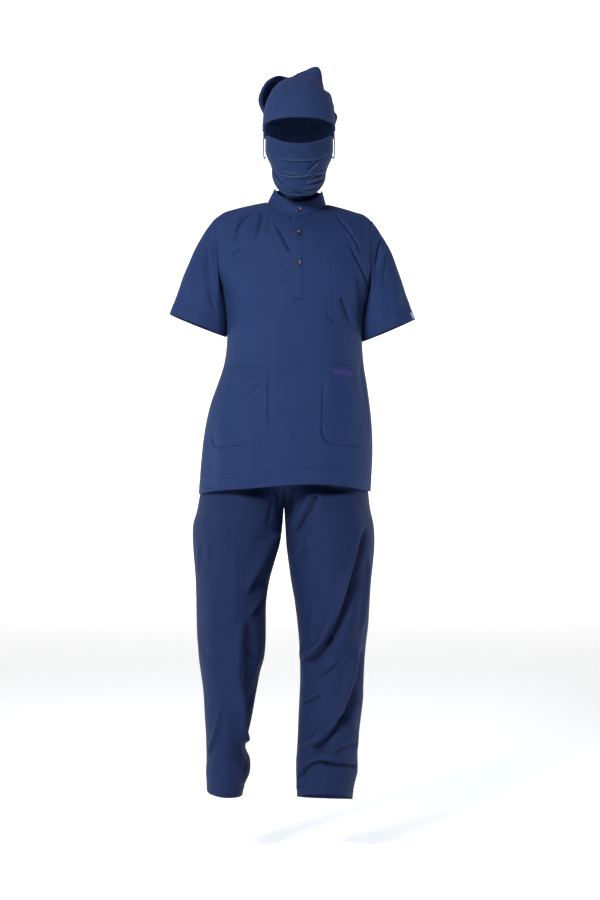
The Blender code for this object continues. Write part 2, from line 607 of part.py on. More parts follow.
# ---- trouser surfaces --------------------------------------------------------------------
def leg_section(leg, facing, share, z):
    """Leg wall at z: share 0 is the outseam and 1 the inseam or the seat seam."""
    rows = LEG_ROWS[leg]
    outer = column(rows, "outer", z)
    inner = column(rows, "inner", z)
    depth = column(rows, "front" if facing < 0 else "back", z)
    u = -np.cos(pi * share)
    x = (outer + inner) / 2 + (inner - outer) / 2 * u
    y = facing * depth * dome(u, LEG_SQUARENESS)
    return np.stack([x, y, z], axis=-1)


def pelvis_section(leg, facing, share, z):
    """Wall round the hips at z, from the outseam to the seat seam."""
    left = column(PELVIS_ROWS, "left", z)
    right = column(PELVIS_ROWS, "right", z)
    depth = column(PELVIS_ROWS, "front" if facing < 0 else "back", z)
    centre = (left + right) / 2
    half = (right - left) / 2
    sign = -1 if leg == "right" else 1
    seam = (SEAT_SEAM - centre) / half * sign
    u = seam + (1 - seam) * np.cos(pi / 2 * share)
    x = centre + sign * half * u
    y = facing * depth * dome(u, PELVIS_SQUARENESS)
    return np.stack([x, y, z], axis=-1)


def leg_hem(leg, facing, share):
    """Height of the leg's hem, from the outseam to the inseam."""
    hem = LEG_HEMS[leg]
    side = hem.outer + (hem.inner - hem.outer) * share
    middle = hem.front if facing < 0 else hem.back
    return side + (middle - (hem.outer + hem.inner) / 2) * np.sin(pi * share)


def leg_points(leg, facing, share, z):
    """Points of a trouser panel with its folds and its pressed crease."""
    fork = np.clip((z - CROTCH_HEIGHT) / (FORK_TOP - CROTCH_HEIGHT), 0, 1)
    blend = np.sin(pi / 2 * fork) ** FORK_SHAPE
    points = ((1 - blend)[..., None] * leg_section(leg, facing, share, z)
              + blend[..., None] * pelvis_section(leg, facing, share, z))
    below = ease((CREASE_TOP - z) / CREASE_FADE)
    crease = CREASE_HEIGHT * np.maximum(0, 1 - np.abs(share - 0.5) / CREASE_HALF_WIDTH) * below
    folds = fold_relief(LEG_FOLDS[leg], points[..., 0], points[..., 2])
    if facing > 0:
        folds = BACK_FOLD_SHARE * fold_relief(LEG_FOLDS[leg], points[..., 0],
                                              points[..., 2] - BACK_FOLD_RISE)
    points[..., 1] += facing * (crease + folds * np.sin(pi * np.clip(share, 0.02, 0.98)))
    points[..., 1] = facing * np.maximum(facing * points[..., 1], HALF_GAP)
    sign = -1 if leg == "right" else 1
    clearance = HALF_GAP + (CLOTH + HALF_GAP) * (1 - ease(fork * FORK_CLEAR))
    limit = SEAT_SEAM + sign * clearance
    crossing = np.maximum(0, (limit - points[..., 0]) * sign)
    points[..., 0] += sign * crossing * (z > CROTCH_HEIGHT - FORK_REACH)
    return points


def leg_grid(leg, facing, round_steps=8, rows=25):
    """Grid of a trouser panel from its hem to the waist."""
    share = np.linspace(0, 1, round_steps + 1)
    hem = leg_hem(leg, facing, share)
    top = WAIST_HEIGHT - SEAM_GAP
    grid = []
    for step in range(rows + 1):
        z = hem + (top - hem) * step / rows
        grid.append(leg_points(leg, facing, share, z))
    return np.array(grid)


def waistband_grid(round_steps=28):
    """Closed rings of the waistband, on the section of the trousers' waist."""
    turns = np.linspace(0, tau, round_steps, endpoint=False)
    rows = []
    for z in np.linspace(WAIST_HEIGHT, WAISTBAND_TOP, 3):
        left = column(PELVIS_ROWS, "left", WAIST_HEIGHT)
        right = column(PELVIS_ROWS, "right", WAIST_HEIGHT)
        depth = np.where(np.sin(turns) < 0, column(PELVIS_ROWS, "front", WAIST_HEIGHT),
                         column(PELVIS_ROWS, "back", WAIST_HEIGHT))
        u = np.cos(turns)
        x = (left + right) / 2 + (right - left) / 2 * u
        y = np.sign(np.sin(turns)) * depth * dome(u, PELVIS_SQUARENESS)
        rows.append(np.stack([x, y, np.full_like(x, z)], axis=-1))
    return np.array(rows)


# ---- collar ------------------------------------------------------------------------------
def collar_points(turn, rise):
    """Outer face of the collar at each turn, at a share of its height."""
    base = neckline(turn)
    tuck = ease((np.asarray(turn) - COLLAR_TUCK) / (COLLAR_TUCKED - COLLAR_TUCK))
    inset = COLLAR_INSET + (COLLAR_WALL + SEAM_GAP) * tuck
    base = base + np.stack([-np.sin(turn), np.cos(turn), 0 * turn], axis=-1) * inset[..., None]
    front = np.cos(turn) > 0
    top = np.stack([
        COLLAR_TOP_CENTRE + (COLLAR_TOP_HALF_WIDTH - inset) * np.sin(turn),
        -np.cos(turn) * (np.where(front, COLLAR_TOP_FRONT, COLLAR_TOP_BACK) - inset),
        base[..., 2] + COLLAR_HEIGHT], axis=-1)
    return base + (top - base) * rise


def collar_grid(round_steps=36, rows=2):
    """Grid of the collar band from its seam to its top edge."""
    turns = np.linspace(COLLAR_START, COLLAR_END, round_steps + 1)
    return np.array([collar_points(turns, row / rows) for row in range(rows + 1)])


# ---- patches -----------------------------------------------------------------------------
def pocket_lift(outline, base):
    """How far out the points of a pocket lie: its mouth hangs open a little."""
    top = max(corner.height for corner in outline)
    left = min(corner.across for corner in outline)
    right = max(corner.across for corner in outline)

    def lift(x, z):
        mouth = ease((z - top) / POCKET_GAPE_DEPTH + 1) * (z < top + POCKET_GAPE_DEPTH)
        across = np.sin(pi * np.clip((x - left) / (right - left), 0, 1))
        return base + POCKET_GAPE * mouth * across
    return lift


def outline_cutter(collection, name, outline, reach):
    """A prism over an outline of the front view, running in y over a reach."""
    corners = [(corner.across, corner.height) for corner in outline]
    mesh = bpy.data.meshes.new(name)
    vertices = [(x, y, z) for y in reach for x, z in corners]
    count = len(corners)
    faces = [tuple(range(count)), tuple(range(2 * count - 1, count - 1, -1))]
    faces += [(i, i + count, (i + 1) % count + count, (i + 1) % count) for i in range(count)]
    mesh.from_pydata(vertices, [], faces)
    mesh.validate()
    work = bmesh.new()
    work.from_mesh(mesh)
    bmesh.ops.recalc_face_normals(work, faces=work.faces)
    work.to_mesh(mesh)
    work.free()
    cutter = bpy.data.objects.new(name, mesh)
    collection.objects.link(cutter)
    cutter.hide_render = True
    cutter.display_type = "WIRE"
    return cutter


def add_patch(scrubs, cutters, name, outline, grid, colour, wall=PATCH_CLOTH, **shape):
    """A patch: the points of the panel under it, moved out and cut to an outline."""
    patch = cloth_panel(scrubs, name, grid, colour, wall=wall, **shape)
    trim = patch.modifiers.new("Outline", "BOOLEAN")
    trim.operation = "INTERSECT"
    trim.object = outline_cutter(cutters, name + "_outline", outline, PATCH_REACH)


# ---- cap ---------------------------------------------------------------------------------
def brim_height(azimuth):
    """Height of the brim above the cap's centre, at an azimuth counted from the left."""
    back = (1 + np.sin(azimuth)) / 2
    return BRIM_FRONT + (BRIM_BACK - BRIM_FRONT) * back ** 1.5


def under_front_panel(azimuth, climb):
    """1 where the crown runs under the front panel, easing to 0 outside its edges."""
    turn = (np.degrees(azimuth) + 90 + 180) % 360 - 180
    edge = column(CAP_FRONT_EDGE, "climb", turn, key="turn")
    above = ease((edge + CAP_EDGE_MARGIN + CAP_EDGE_FADE - np.degrees(climb)) / CAP_EDGE_FADE)
    beside = ease((CAP_SIDE_TURN + CAP_SIDE_MARGIN + CAP_SIDE_FADE - np.abs(turn)) / CAP_SIDE_FADE)
    return above * beside


def cap_points(azimuth, climb, lobes=1.0, lift=0.0):
    """Cap wall in the direction of an azimuth from the wearer's left and a climb, radians."""
    centre = np.array(CAP_CENTRE)
    direction = np.stack([np.cos(azimuth) * np.cos(climb), np.sin(azimuth) * np.cos(climb),
                          np.sin(climb)], axis=-1)
    axes = np.array([CAP_HALF_WIDTH, CAP_HALF_DEPTH, CAP_RISE])
    reach = ((np.abs(direction / axes) ** CAP_SQUARENESS).sum(axis=-1)) ** (-1 / CAP_SQUARENESS)
    for lobe in CAP_LOBES:
        around, up = radians(lobe.azimuth), radians(lobe.climb)
        middle = np.array([cos(around) * cos(up), sin(around) * cos(up), sin(up)])
        away = np.degrees(np.arccos(np.clip(direction @ middle, -1, 1)))
        reach = reach + lobes * lobe.reach * np.exp(-(away / lobe.size) ** 2)
    return centre + direction * (reach + lift)[..., None]


def cap_crown_grid(round_steps=40, rows=11):
    """Closed rings of the crown, from the brim nearly to the top."""
    azimuth = np.linspace(0, tau, round_steps, endpoint=False)
    start = np.arctan2(brim_height(azimuth), CAP_BRIM_REACH)
    rings = []
    for row in range(rows + 1):
        climb = start + (CAP_TOP_CLIMB - start) * row / rows
        covered = under_front_panel(azimuth, climb)
        rings.append(cap_points(azimuth, climb, 1 - covered, -CAP_INSET * covered))
    return np.array(rings)


def cap_front_grid(columns=16, rows=7):
    """Grid of the front panel, which lies over the crown from brim to its arched edge."""
    turns = np.linspace(-CAP_SIDE_TURN, CAP_SIDE_TURN, columns + 1)
    azimuth = np.radians(turns - 90)
    top = np.radians(column(CAP_FRONT_EDGE, "climb", turns, key="turn"))
    start = np.arctan2(brim_height(azimuth), CAP_BRIM_REACH)
    grid = []
    for row in range(rows + 1):
        climb = start + (top - start) * row / rows
        grid.append(cap_points(azimuth, climb, 0.0))
    return np.array(grid)


# ---- mask --------------------------------------------------------------------------------
def mask_grid(columns=12, rows=17):
    """Grid of the mask from its lower edge to its upper edge, with a step at each pleat."""
    across = np.sin(np.linspace(-pi / 2, pi / 2, columns + 1) * MASK_EDGE)
    away = np.abs(across)
    top, bottom = MASK_ROWS[0].height, MASK_ROWS[-1].height
    grid = []
    for down in np.linspace(1, 0, rows + 1):
        level = top + (bottom - top) * down
        left, right, side_y, front_y = (column(MASK_ROWS, name, level)
                                        for name in ("left", "right", "side_y", "front_y"))
        x = (left + right) / 2 + (right - left) / 2 * across
        bend = MASK_TOP_BEND + (MASK_LOW_BEND - MASK_TOP_BEND) * down
        z = level + MASK_SIDE_RISE * away ** bend
        step = sum(MASK_PLEAT_STEP * (since + 1)
                   for since in ((down - pleat) / MASK_PLEAT_SPAN for pleat in MASK_PLEATS)
                   if -1 < since <= 0)
        y = side_y + (front_y - side_y) * dome(away, MASK_SQUARENESS)
        y = y - step * dome(away, PLEAT_SQUARENESS)
        grid.append(np.stack([x, y, z], axis=-1))
    return np.array(grid)


# ---- objects -----------------------------------------------------------------------------
def cloth_material(name, colour, roughness=0.72):
    """A cloth finish in one colour."""
    material = bpy.data.materials.new(name)
    material.use_nodes = True
    shader = material.node_tree.nodes["Principled BSDF"]
    shader.inputs["Base Color"].default_value = colour
    shader.inputs["Roughness"].default_value = roughness
    shader.inputs["Metallic"].default_value = 0.0
    return material


def clear_scene():
    """Remove whatever objects the file opened with."""
    for thing in list(bpy.data.objects):
        bpy.data.objects.remove(thing)


def new_collection(name):
    """A collection linked to the scene."""
    collection = bpy.data.collections.new(name)
    bpy.context.scene.collection.children.link(collection)
    return collection


def add_object(collection, name, data, material):
    """Link an object with its own material."""
    thing = bpy.data.objects.new(name, data)
    collection.objects.link(thing)
    data.materials.append(material)
    return thing


def grid_mesh(name, grid, closed=False, pole=False, flip=False):
    """Open surface over a grid of rows of points, its faces pointing out of the garment."""
    rows, columns = grid.shape[:2]
    vertices = [tuple(point) for row in grid for point in row]
    faces = []
    for row in range(rows - 1):
        for step in range(columns if closed else columns - 1):
            after = (step + 1) % columns
            a, b = row * columns + step, row * columns + after
            faces.append((a, b, b + columns, a + columns))
    if pole:
        last = (rows - 1) * columns
        vertices.append(tuple(grid[-1].mean(axis=0)))
        for step in range(columns):
            faces.append((last + step, last + (step + 1) % columns, len(vertices) - 1))
    if flip:
        faces = [face[::-1] for face in faces]
    mesh = bpy.data.meshes.new(name)
    mesh.from_pydata(vertices, [], faces)
    mesh.shade_smooth()
    return mesh


def cloth_panel(collection, name, grid, colour, wall=CLOTH, outward=True, **shape):
    """A cloth piece: its surface with a wall on the outer or the inner side."""
    mesh = grid_mesh(name, grid, **shape)
    panel = add_object(collection, name, mesh, cloth_material(name + "_cloth", colour))
    solidify = panel.modifiers.new("Wall", "SOLIDIFY")
    solidify.thickness = wall
    solidify.offset = 1.0 if outward else -1.0
    return panel


def frame_on(point, normal):
    """Placement with local +Z along a normal."""
    turn = Vector((0, 0, 1)).rotation_difference(Vector(normal)).to_matrix().to_4x4()
    return Matrix.Translation(Vector(point)) @ turn


def button_mesh():
    """A turned button: rounded rim, dished face, flat underside on its local z = 0."""
    profile = bpy.data.meshes.new("button_profile")
    rim = BUTTON_RADIUS - BUTTON_RIM
    dish = BUTTON_THICKNESS - BUTTON_DISH
    points = [(0, dish), (rim - BUTTON_SLOPE, dish), (rim, BUTTON_THICKNESS),
              (BUTTON_RADIUS - BUTTON_EDGE, BUTTON_THICKNESS),
              (BUTTON_RADIUS, BUTTON_THICKNESS * BUTTON_WAIST), (BUTTON_RADIUS - BUTTON_FOOT, 0),
              (0, 0)]
    edges = [(i, i + 1) for i in range(len(points) - 1)]
    profile.from_pydata([(radius, 0, height) for radius, height in points], edges, [])
    return profile


def hole_cutters(collection):
    """Four thread holes as one set of cylinders."""
    cutters = []
    reach = BUTTON_HOLE_REACH / sqrt(2)
    for x in (-reach, reach):
        for y in (-reach, reach):
            bpy.ops.mesh.primitive_cylinder_add(
                vertices=6, radius=BUTTON_HOLE_RADIUS, depth=4 * BUTTON_THICKNESS,
                location=(x, y, 0))
            cutter = bpy.context.object
            cutter.name = f"hole_cutter_{len(cutters) + 1}"
            for home in cutter.users_collection:
                home.objects.unlink(cutter)
            collection.objects.link(cutter)
            cutter.hide_render = True
            cutter.display_type = "WIRE"
            cutters.append(cutter)
    return cutters


def add_buttons(collection, cutter_collection):
    """Three alike buttons, on the collar and down the placket."""
    master = add_object(collection, "button_master", button_mesh(), cloth_material("button_resin", PLUM))
    screw = master.modifiers.new("Turn", "SCREW")
    screw.steps = BUTTON_SIDES
    screw.render_steps = BUTTON_SIDES
    screw.use_merge_vertices = True
    screw.merge_threshold = 0.00001
    for number, cutter in enumerate(hole_cutters(cutter_collection), start=1):
        cut = master.modifiers.new(f"Hole {number}", "BOOLEAN")
        cut.operation = "DIFFERENCE"
        cut.object = cutter
    bpy.context.view_layer.update()
    depsgraph = bpy.context.evaluated_depsgraph_get()
    mesh = bpy.data.meshes.new_from_object(master.evaluated_get(depsgraph))
    bpy.data.objects.remove(master)
    for number, place in enumerate(button_places(), start=1):
        name = f"button_{number}"
        own = mesh.copy()
        own.materials.clear()
        button = add_object(collection, name, own, cloth_material(name + "_resin", PLUM, 0.28))
        button.matrix_world = place


def button_places():
    """Where each button sits: one on the collar and two down the placket."""
    turn = COLLAR_BUTTON_ANGLE + TANGENT_ANGLE * np.array([-1, 0, 1])
    spot = collar_points(turn, COLLAR_BUTTON_RISE)
    above = collar_points(turn, COLLAR_BUTTON_RISE + TANGENT_RISE)
    normal = np.cross(spot[2] - spot[0], above[1] - spot[1])
    normal /= np.linalg.norm(normal)
    places = [frame_on(spot[1] + normal * COLLAR_BUTTON_SEAT, normal)]
    lift = PATCH_LIFT + PATCH_CLOTH
    for x, z in FRONT_BUTTONS:
        xs = np.array([x, x + TANGENT_STEP, x])
        zs = np.array([z, z, z + TANGENT_STEP])
        here, beside, above = torso_points(xs, zs, -1, lift)
        normal = np.cross(beside - here, above - here)
        normal /= np.linalg.norm(normal)
        places.append(frame_on(here + normal * FRONT_BUTTON_SEAT, normal))
    return places


def add_ear_loop(collection, name, side):
    """An elastic ear loop as a thin tube on its own smooth route."""
    route = np.array([(side * point.out, point.back, point.height) for point in EAR_LOOP])
    along = np.linspace(0, len(route) - 1, EAR_LOOP_STEPS + 1)
    marks = np.arange(len(route))
    smooth = np.stack([smooth_curve(marks, route[:, axis], along) for axis in range(3)], axis=-1)
    curve = bpy.data.curves.new(name, "CURVE")
    curve.dimensions = "3D"
    curve.bevel_depth = EAR_LOOP_RADIUS
    curve.bevel_resolution = 2
    curve.use_fill_caps = True
    spline = curve.splines.new("POLY")
    spline.points.add(len(smooth) - 1)
    for spot, point in zip(spline.points, smooth):
        spot.co = (*point, 1.0)
    add_object(collection, name, curve, cloth_material(name + "_elastic", ELASTIC_BLUE))


def build_tunic(scrubs, cutters):
    """Front, back, sleeves, collar, placket, pockets and tags."""
    cloth_panel(scrubs, "tunic_front", torso_grid(-1), NAVY)
    back = torso_grid(1, shoulder_steps=5, neck_steps=8, lower_rows=9, upper_rows=7)
    cloth_panel(scrubs, "tunic_back", back, NAVY, flip=True)
    for name, cut in SLEEVES.items():
        cloth_panel(scrubs, name, sleeve_grid(cut), NAVY, closed=True, flip=cut.side < 0)
    cloth_panel(scrubs, "collar", collar_grid(), NAVY, wall=COLLAR_WALL, outward=False)
    add_patch(scrubs, cutters, "placket", PLACKET, torso_grid(-1, lambda x, z: PATCH_LIFT), NAVY)
    pockets = {"chest_pocket": CHEST_POCKET, "hip_pocket_right": HIP_POCKET_RIGHT,
               "hip_pocket_left": HIP_POCKET_LEFT}
    for name, outline in pockets.items():
        grid = torso_grid(-1, pocket_lift(outline, PATCH_LIFT))
        add_patch(scrubs, cutters, name, outline, grid, NAVY)
    tag_lift = pocket_lift(HIP_POCKET_LEFT, PATCH_LIFT + PATCH_CLOTH + 2 * SEAM_GAP)
    add_patch(scrubs, cutters, "pocket_label", LABEL, torso_grid(-1, tag_lift), VIOLET,
              wall=LABEL_CLOTH)
    cut = SLEEVES["sleeve_left"]
    grid = sleeve_grid(cut, lift=CLOTH + 2 * SEAM_GAP)
    add_patch(scrubs, cutters, "sleeve_label", SLEEVE_LABEL, grid, VIOLET, wall=LABEL_CLOTH,
              closed=True, flip=cut.side < 0)


def build_trousers(scrubs):
    """Four panels and the waistband."""
    for leg in ("right", "left"):
        for facing, face_name in ((-1, "front"), (1, "back")):
            flip = (leg == "left") == (facing < 0)
            cloth_panel(scrubs, f"trouser_{face_name}_{leg}", leg_grid(leg, facing), DEEP_NAVY,
                        flip=flip)
    cloth_panel(scrubs, "waistband", waistband_grid(), DEEP_NAVY, wall=WAISTBAND_WALL,
                outward=False, closed=True)


def build_headwear(scrubs):
    """Cap and mask with its ear loops."""
    cloth_panel(scrubs, "cap_crown", cap_crown_grid(), NAVY, wall=CAP_WALL, closed=True, pole=True)
    cloth_panel(scrubs, "cap_front", cap_front_grid(), NAVY, wall=CAP_WALL)
    cloth_panel(scrubs, "mask", mask_grid(), NAVY, wall=MASK_WALL)
    add_ear_loop(scrubs, "ear_loop_right", -1)
    add_ear_loop(scrubs, "ear_loop_left", 1)


def main():
    """Build the whole set."""
    clear_scene()
    scrubs = new_collection("medical_scrubs")
    cutters = new_collection("cutters")
    build_tunic(scrubs, cutters)
    build_trousers(scrubs)
    build_headwear(scrubs)
    add_buttons(scrubs, cutters)


main()
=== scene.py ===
"""Medical scrubs: the looks of a navy tunic, trousers, soft cap and pleated mask in worn pose.

Metres, +Z up. The front faces -Y and the wearer's left is +X. Every cloth piece is a fine grid
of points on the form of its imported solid, with creases, seams and hems worked in as relief.
"""

import logging
from collections.abc import Sequence
from dataclasses import dataclass, field
from enum import Enum, IntEnum
from math import cos, e, pi, radians, sin, sqrt, tau
from typing import Any, NamedTuple

import bpy
import numpy as np
from mathutils import Matrix, Vector


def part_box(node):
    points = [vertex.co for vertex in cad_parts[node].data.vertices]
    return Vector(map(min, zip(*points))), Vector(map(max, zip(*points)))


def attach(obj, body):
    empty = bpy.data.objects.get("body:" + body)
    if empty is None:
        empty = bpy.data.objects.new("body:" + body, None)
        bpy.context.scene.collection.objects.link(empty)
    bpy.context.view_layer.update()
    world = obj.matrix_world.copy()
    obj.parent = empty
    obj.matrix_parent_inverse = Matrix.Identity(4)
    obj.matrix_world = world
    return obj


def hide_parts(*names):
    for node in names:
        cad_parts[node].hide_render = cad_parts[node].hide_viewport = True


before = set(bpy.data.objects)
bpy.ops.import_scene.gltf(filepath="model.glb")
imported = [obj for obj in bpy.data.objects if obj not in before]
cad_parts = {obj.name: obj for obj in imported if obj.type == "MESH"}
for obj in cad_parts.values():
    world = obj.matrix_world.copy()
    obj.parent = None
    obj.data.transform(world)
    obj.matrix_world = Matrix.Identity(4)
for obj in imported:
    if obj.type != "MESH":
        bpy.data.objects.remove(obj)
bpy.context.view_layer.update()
LOG = logging.getLogger("scrubs")
Array = np.ndarray
Colour = tuple[float, float, float, float]

MILLIMETRES = 1000
CLOTH = 0.0014              # outer face of a panel above its own section
WALL = 0.0012               # wall of a panel
HALF_SEAM = 0.00015         # half the gap between neighbouring panels
SEAM_DIP = 0.0005           # how far the cloth sinks at a side seam
HEM_ROLL = 0.0016           # how far from its edge a hem's roll ends
HEM_ROWS = 0.0012           # gap between the close rows at a hem's edge and stitching
PROBE = 0.0005              # half the distance over which a slope is read
STEP_PEAK = sqrt(2 * e)     # makes the crest of t * exp(-t**2) 1 high


class Sign(IntEnum):
    """A side of the garment, by the sign of its coordinate there."""

    @property
    def word(self) -> str:
        """Its name in tables and nodes."""
        return self.name.lower()


class Facing(Sign):
    """Front or back, along Y."""
    FRONT = -1
    BACK = 1


class Side(Sign):
    """The wearer's right or left, along X."""
    RIGHT = -1
    LEFT = 1


# ---- tables ------------------------------------------------------------------------------
class SectionRow(NamedTuple):
    """Section at a height: its side edges and its depths."""
    height: float
    left: float
    right: float
    front: float
    back: float


class HeightPoint(NamedTuple):
    """A height at a place across the garment."""
    across: float
    height: float


class LegRow(NamedTuple):
    """Section of a trouser leg at a height."""
    height: float
    outer: float
    inner: float
    front: float
    back: float


class LegHem(NamedTuple):
    """Heights of a leg's hem at its four sides."""
    outer: float
    front: float
    inner: float
    back: float


class SleeveCut(NamedTuple):
    """Where a sleeve's hem ring lies."""
    side: Side
    outer_x: float
    outer_z: float
    inner_x: float
    inner_z: float
    half_depth: float


class Crease(NamedTuple):
    """A crease in the front or back view, through three points; positive depth stands proud."""
    x0: float
    z0: float
    x1: float
    z1: float
    x2: float
    z2: float
    width: float
    depth: float
    lean: float = 0.0           # over 0 the side to the right of its way is the gentle one
    start: float = 0.30         # share of its length over which it fades in
    end: float = 0.40           # and out
    swing: float = 0.35         # ridge and hollow beside it, as a share of its depth
    fall: float = 0.0           # drop from a crest on the left of its way to a hollow on the right


class CapLobe(NamedTuple):
    """A bulge or hollow of the cap, by direction from its centre in degrees."""
    azimuth: float
    climb: float
    size: float
    reach: float
    forward: float = 0.0        # how far it leans to the front


class CapEdge(NamedTuple):
    """Upper edge of the cap's front panel."""
    turn: float
    climb: float


class EarLoopPoint(NamedTuple):
    """A point of an ear loop on the wearer's left."""
    out: float
    back: float
    height: float


class MaskRow(NamedTuple):
    """Section of the mask at a height on its middle line."""
    height: float
    left: float
    right: float
    side_y: float
    front_y: float


def table(kind: type, *rows: tuple[float, ...]) -> tuple[Any, ...]:
    """Rows of a table, given in millimetres."""
    return tuple(kind(*(value / MILLIMETRES for value in row)) for row in rows)


def front_line(*points: tuple[float, float]) -> tuple[HeightPoint, ...]:
    """Points of a line in the front view, given in millimetres."""
    return table(HeightPoint, *points)


def crease_table(*rows: tuple[float, ...]) -> tuple[Crease, ...]:
    """Creases: three points, width and depth in millimetres, four shares, the fall in millimetres."""
    units = (MILLIMETRES,) * 8 + (1,) * 4 + (MILLIMETRES,)
    return tuple(Crease(*(value / unit for value, unit in zip(row, units))) for row in rows)


TORSO_ROWS = table(SectionRow,
    (-640, -219, 156, 148, 132), (-600, -216.7, 158.4, 146, 132), (-560, -213.4, 160.6, 144, 132),
    (-520, -209, 160.6, 142, 131), (-480, -202.4, 158.4, 140, 129), (-440, -192.5, 154, 137, 125),
    (-400, -178.2, 148.5, 134, 120), (-360, -165, 142, 132, 115), (-320, -158.5, 138.5, 130, 112),
    (-280, -157.2, 137.8, 129, 111), (-240, -160, 143, 128, 112), (-195, -169, 156, 128, 114),
    (-150, -174.5, 158.5, 128, 115), (-100, -179, 156.5, 128, 115), (-36, -184.5, 156, 128, 115),
    (60, -184.5, 156, 128, 115),
)
SHOULDER_LINE = front_line(
    (-184.5, -36), (-165, -22.5), (-144, -15.5), (-111, -7.5), (-70.4, 0.5), (-4.8, 5),
    (60.9, -4.5), (102.3, -15), (123.2, -21.5), (142.1, -27.5), (156, -38),
)
TUNIC_HEM = front_line(
    (-219, -640), (-190, -633), (-150, -628.5), (-90, -624), (-10, -617.5), (65, -618),
    (115, -625), (156, -634.5),
)
UNDERARM = -0.195
SHOULDER_END = -0.036
ARMHOLE_SPREAD = 0.075
ARMHOLE_RISE = 0.050
SHOULDER_ROUNDING = 0.170
SHOULDER_SHAPE = 0.75
NAPE_RISE = 0.045
NAPE_SHAPE = 1.15
NECK_CENTRE = -0.0048
NECK_HALF_WIDTH = 0.0657
NECK_FRONT = 0.066
NECK_BACK = 0.052

FRONT_CREASES = crease_table(
    (-86, -21, -120, -42, -137, -74, 4.4, -8.5, 0.3, 0.1, 0.3),
    (-128, -55, -137, -79, -143, -109, 5.5, -4.2, 0, 0.35, 0.5),
    (-79, -23, -86, -55, -94, -98, 5, -5, 0, 0.12, 0.5),
    (-98, -42, -88, -34, -77, -21, 3, -2, 0, 0.3, 0.3),
    (-103, -49, -111, -77, -116, -109, 10, 3, 0, 0.3, 0.5),
    (-152, -126, -133, -115, -113, -100, 4.5, -2.8, 0.3, 0.3, 0.45),
    (-150, -126, -126, -130, -98, -126, 3.5, -1.4, 0, 0.3, 0.5),
    (-56, -42, -36, -83, -17, -122, 3.3, -4.8, 0.4, 0.4, 0.1),
    (32, -44, 19, -53, 9, -66, 3.2, -2.2, 0, 0.3, 0.2),
    (75, -27, 109, -70, 137, -130, 3.1, -6.6, 0.4, 0.25, 0.3),
    (105, -98, 126, -134, 150, -184, 3.1, -6, 0.3, 0.25, 0.12),
    (114, -81, 133, -113, 146, -147, 9, 2.6, 0, 0.3, 0.3),
    (131, -261, 126, -197, 111, -141, 10, -3.6, 0, 0.3, 0.35, 0.35, 7.5),
    (90, -209, 100, -240, 115, -281, 5.5, -6.2, 0.4, 0.2, 0.5),
    (109, -222, 120, -269, 133, -319, 7, 3.2, 0, 0.3, 0.3),
    (-163, -203, -139, -220, -109, -235, 14, -3.6, 0, 0.12, 0.5),
    (-120, -190, -113, -216, -113, -239, 9, -1.8, 0, 0.35, 0.45),
    (-32, -160, -23, -160, -15, -158, 4, -1.4, 0, 0.4, 0.2),
    (-32, -186, -23, -182, -15, -175, 4.5, -1.5, 0, 0.4, 0.2),
    (-75, -175, -58, -184, -41, -188, 6, -1.4, 0, 0.4, 0.45),
    (144, -394, 152, -447, 154, -522, 10, 2.8, 0, 0.35),
    (-34, -244, -45, -329, -38, -436, 26, 1, 0, 0.45, 0.45, 0.2),
    (30, -265, 24, -394, 34, -533, 28, -1, 0, 0.45, 0.4, 0.2),
    (-101, -426, -105, -511, -98, -616, 24, 2.8, 0, 0.45, 0.03, 0.3),
    (79, -522, 86, -576, 90, -620, 22, -2.6, 0, 0.45, 0.03, 0.3),
    (-184, -462, -188, -539, -193, -629, 15, -3.6, 0, 0.4, 0.03, 0.3),
    (-71, -396, -94, -411, -120, -441, 4.5, -2.2, 0, 0.3, 0.35),
    (-79, -383, -105, -391, -131, -409, 4.5, -1.6, 0, 0.3, 0.35),
    (-135, -490, -152, -509, -171, -524, 5.5, -2, 0, 0.3, 0.3),
    (81, -406, 96, -428, 109, -453, 5.5, -1.8, 0, 0.3, 0.3),
    (-126, -36, -139, -38, -152, -44, 5.5, 2.4, 0, 0.3, 0.3),
    (-13, -221, -1, -221, 12, -221, 1.8, -3.4, 0, 0.12, 0.12, 0),
    (-101, -27, -120, -36, -141, -49, 4, -3.6, 0, 0.2),
    (-66, -34, -66, -64, -75, -98, 5, -2.4, 0, 0.2, 0.5),
    (99, -64, 114, -89, 126, -117, 4, 2.6, 0, 0.3, 0.3),
    (131, -334, 137, -394, 146, -462, 8, -2.6, 0, 0.35, 0.4, 0.2),
    (55, -249, 66, -263, 82, -273, 1.9, -3.2, 0, 0.15, 0.25, 0),
    (-186, -509, -182, -535, -148, -534, 2.6, -3, 0, 0.2, 0.3, 0),
    (-156, -534, -116, -531, -75, -524, 1.9, -2, 0, 0.2, 0.2, 0),
    (49, -488, 56, -520, 81, -531, 2.6, -3.2, 0, 0.2, 0.2, 0),
    (73, -529, 105, -535, 139, -535, 1.9, -2, 0, 0.2, 0.2, 0),
    (56, -383, 51, -436, 50, -501, 1.9, -2, 0, 0.2, 0.2, 0),
    (-68, -376, -66, -436, -68, -496, 1.9, -1.6, 0, 0.2, 0.2, 0),
    (-23, -35, -17, -41, -16, -51, 1.8, -4, 0, 0.15, 0.45, 0),
)
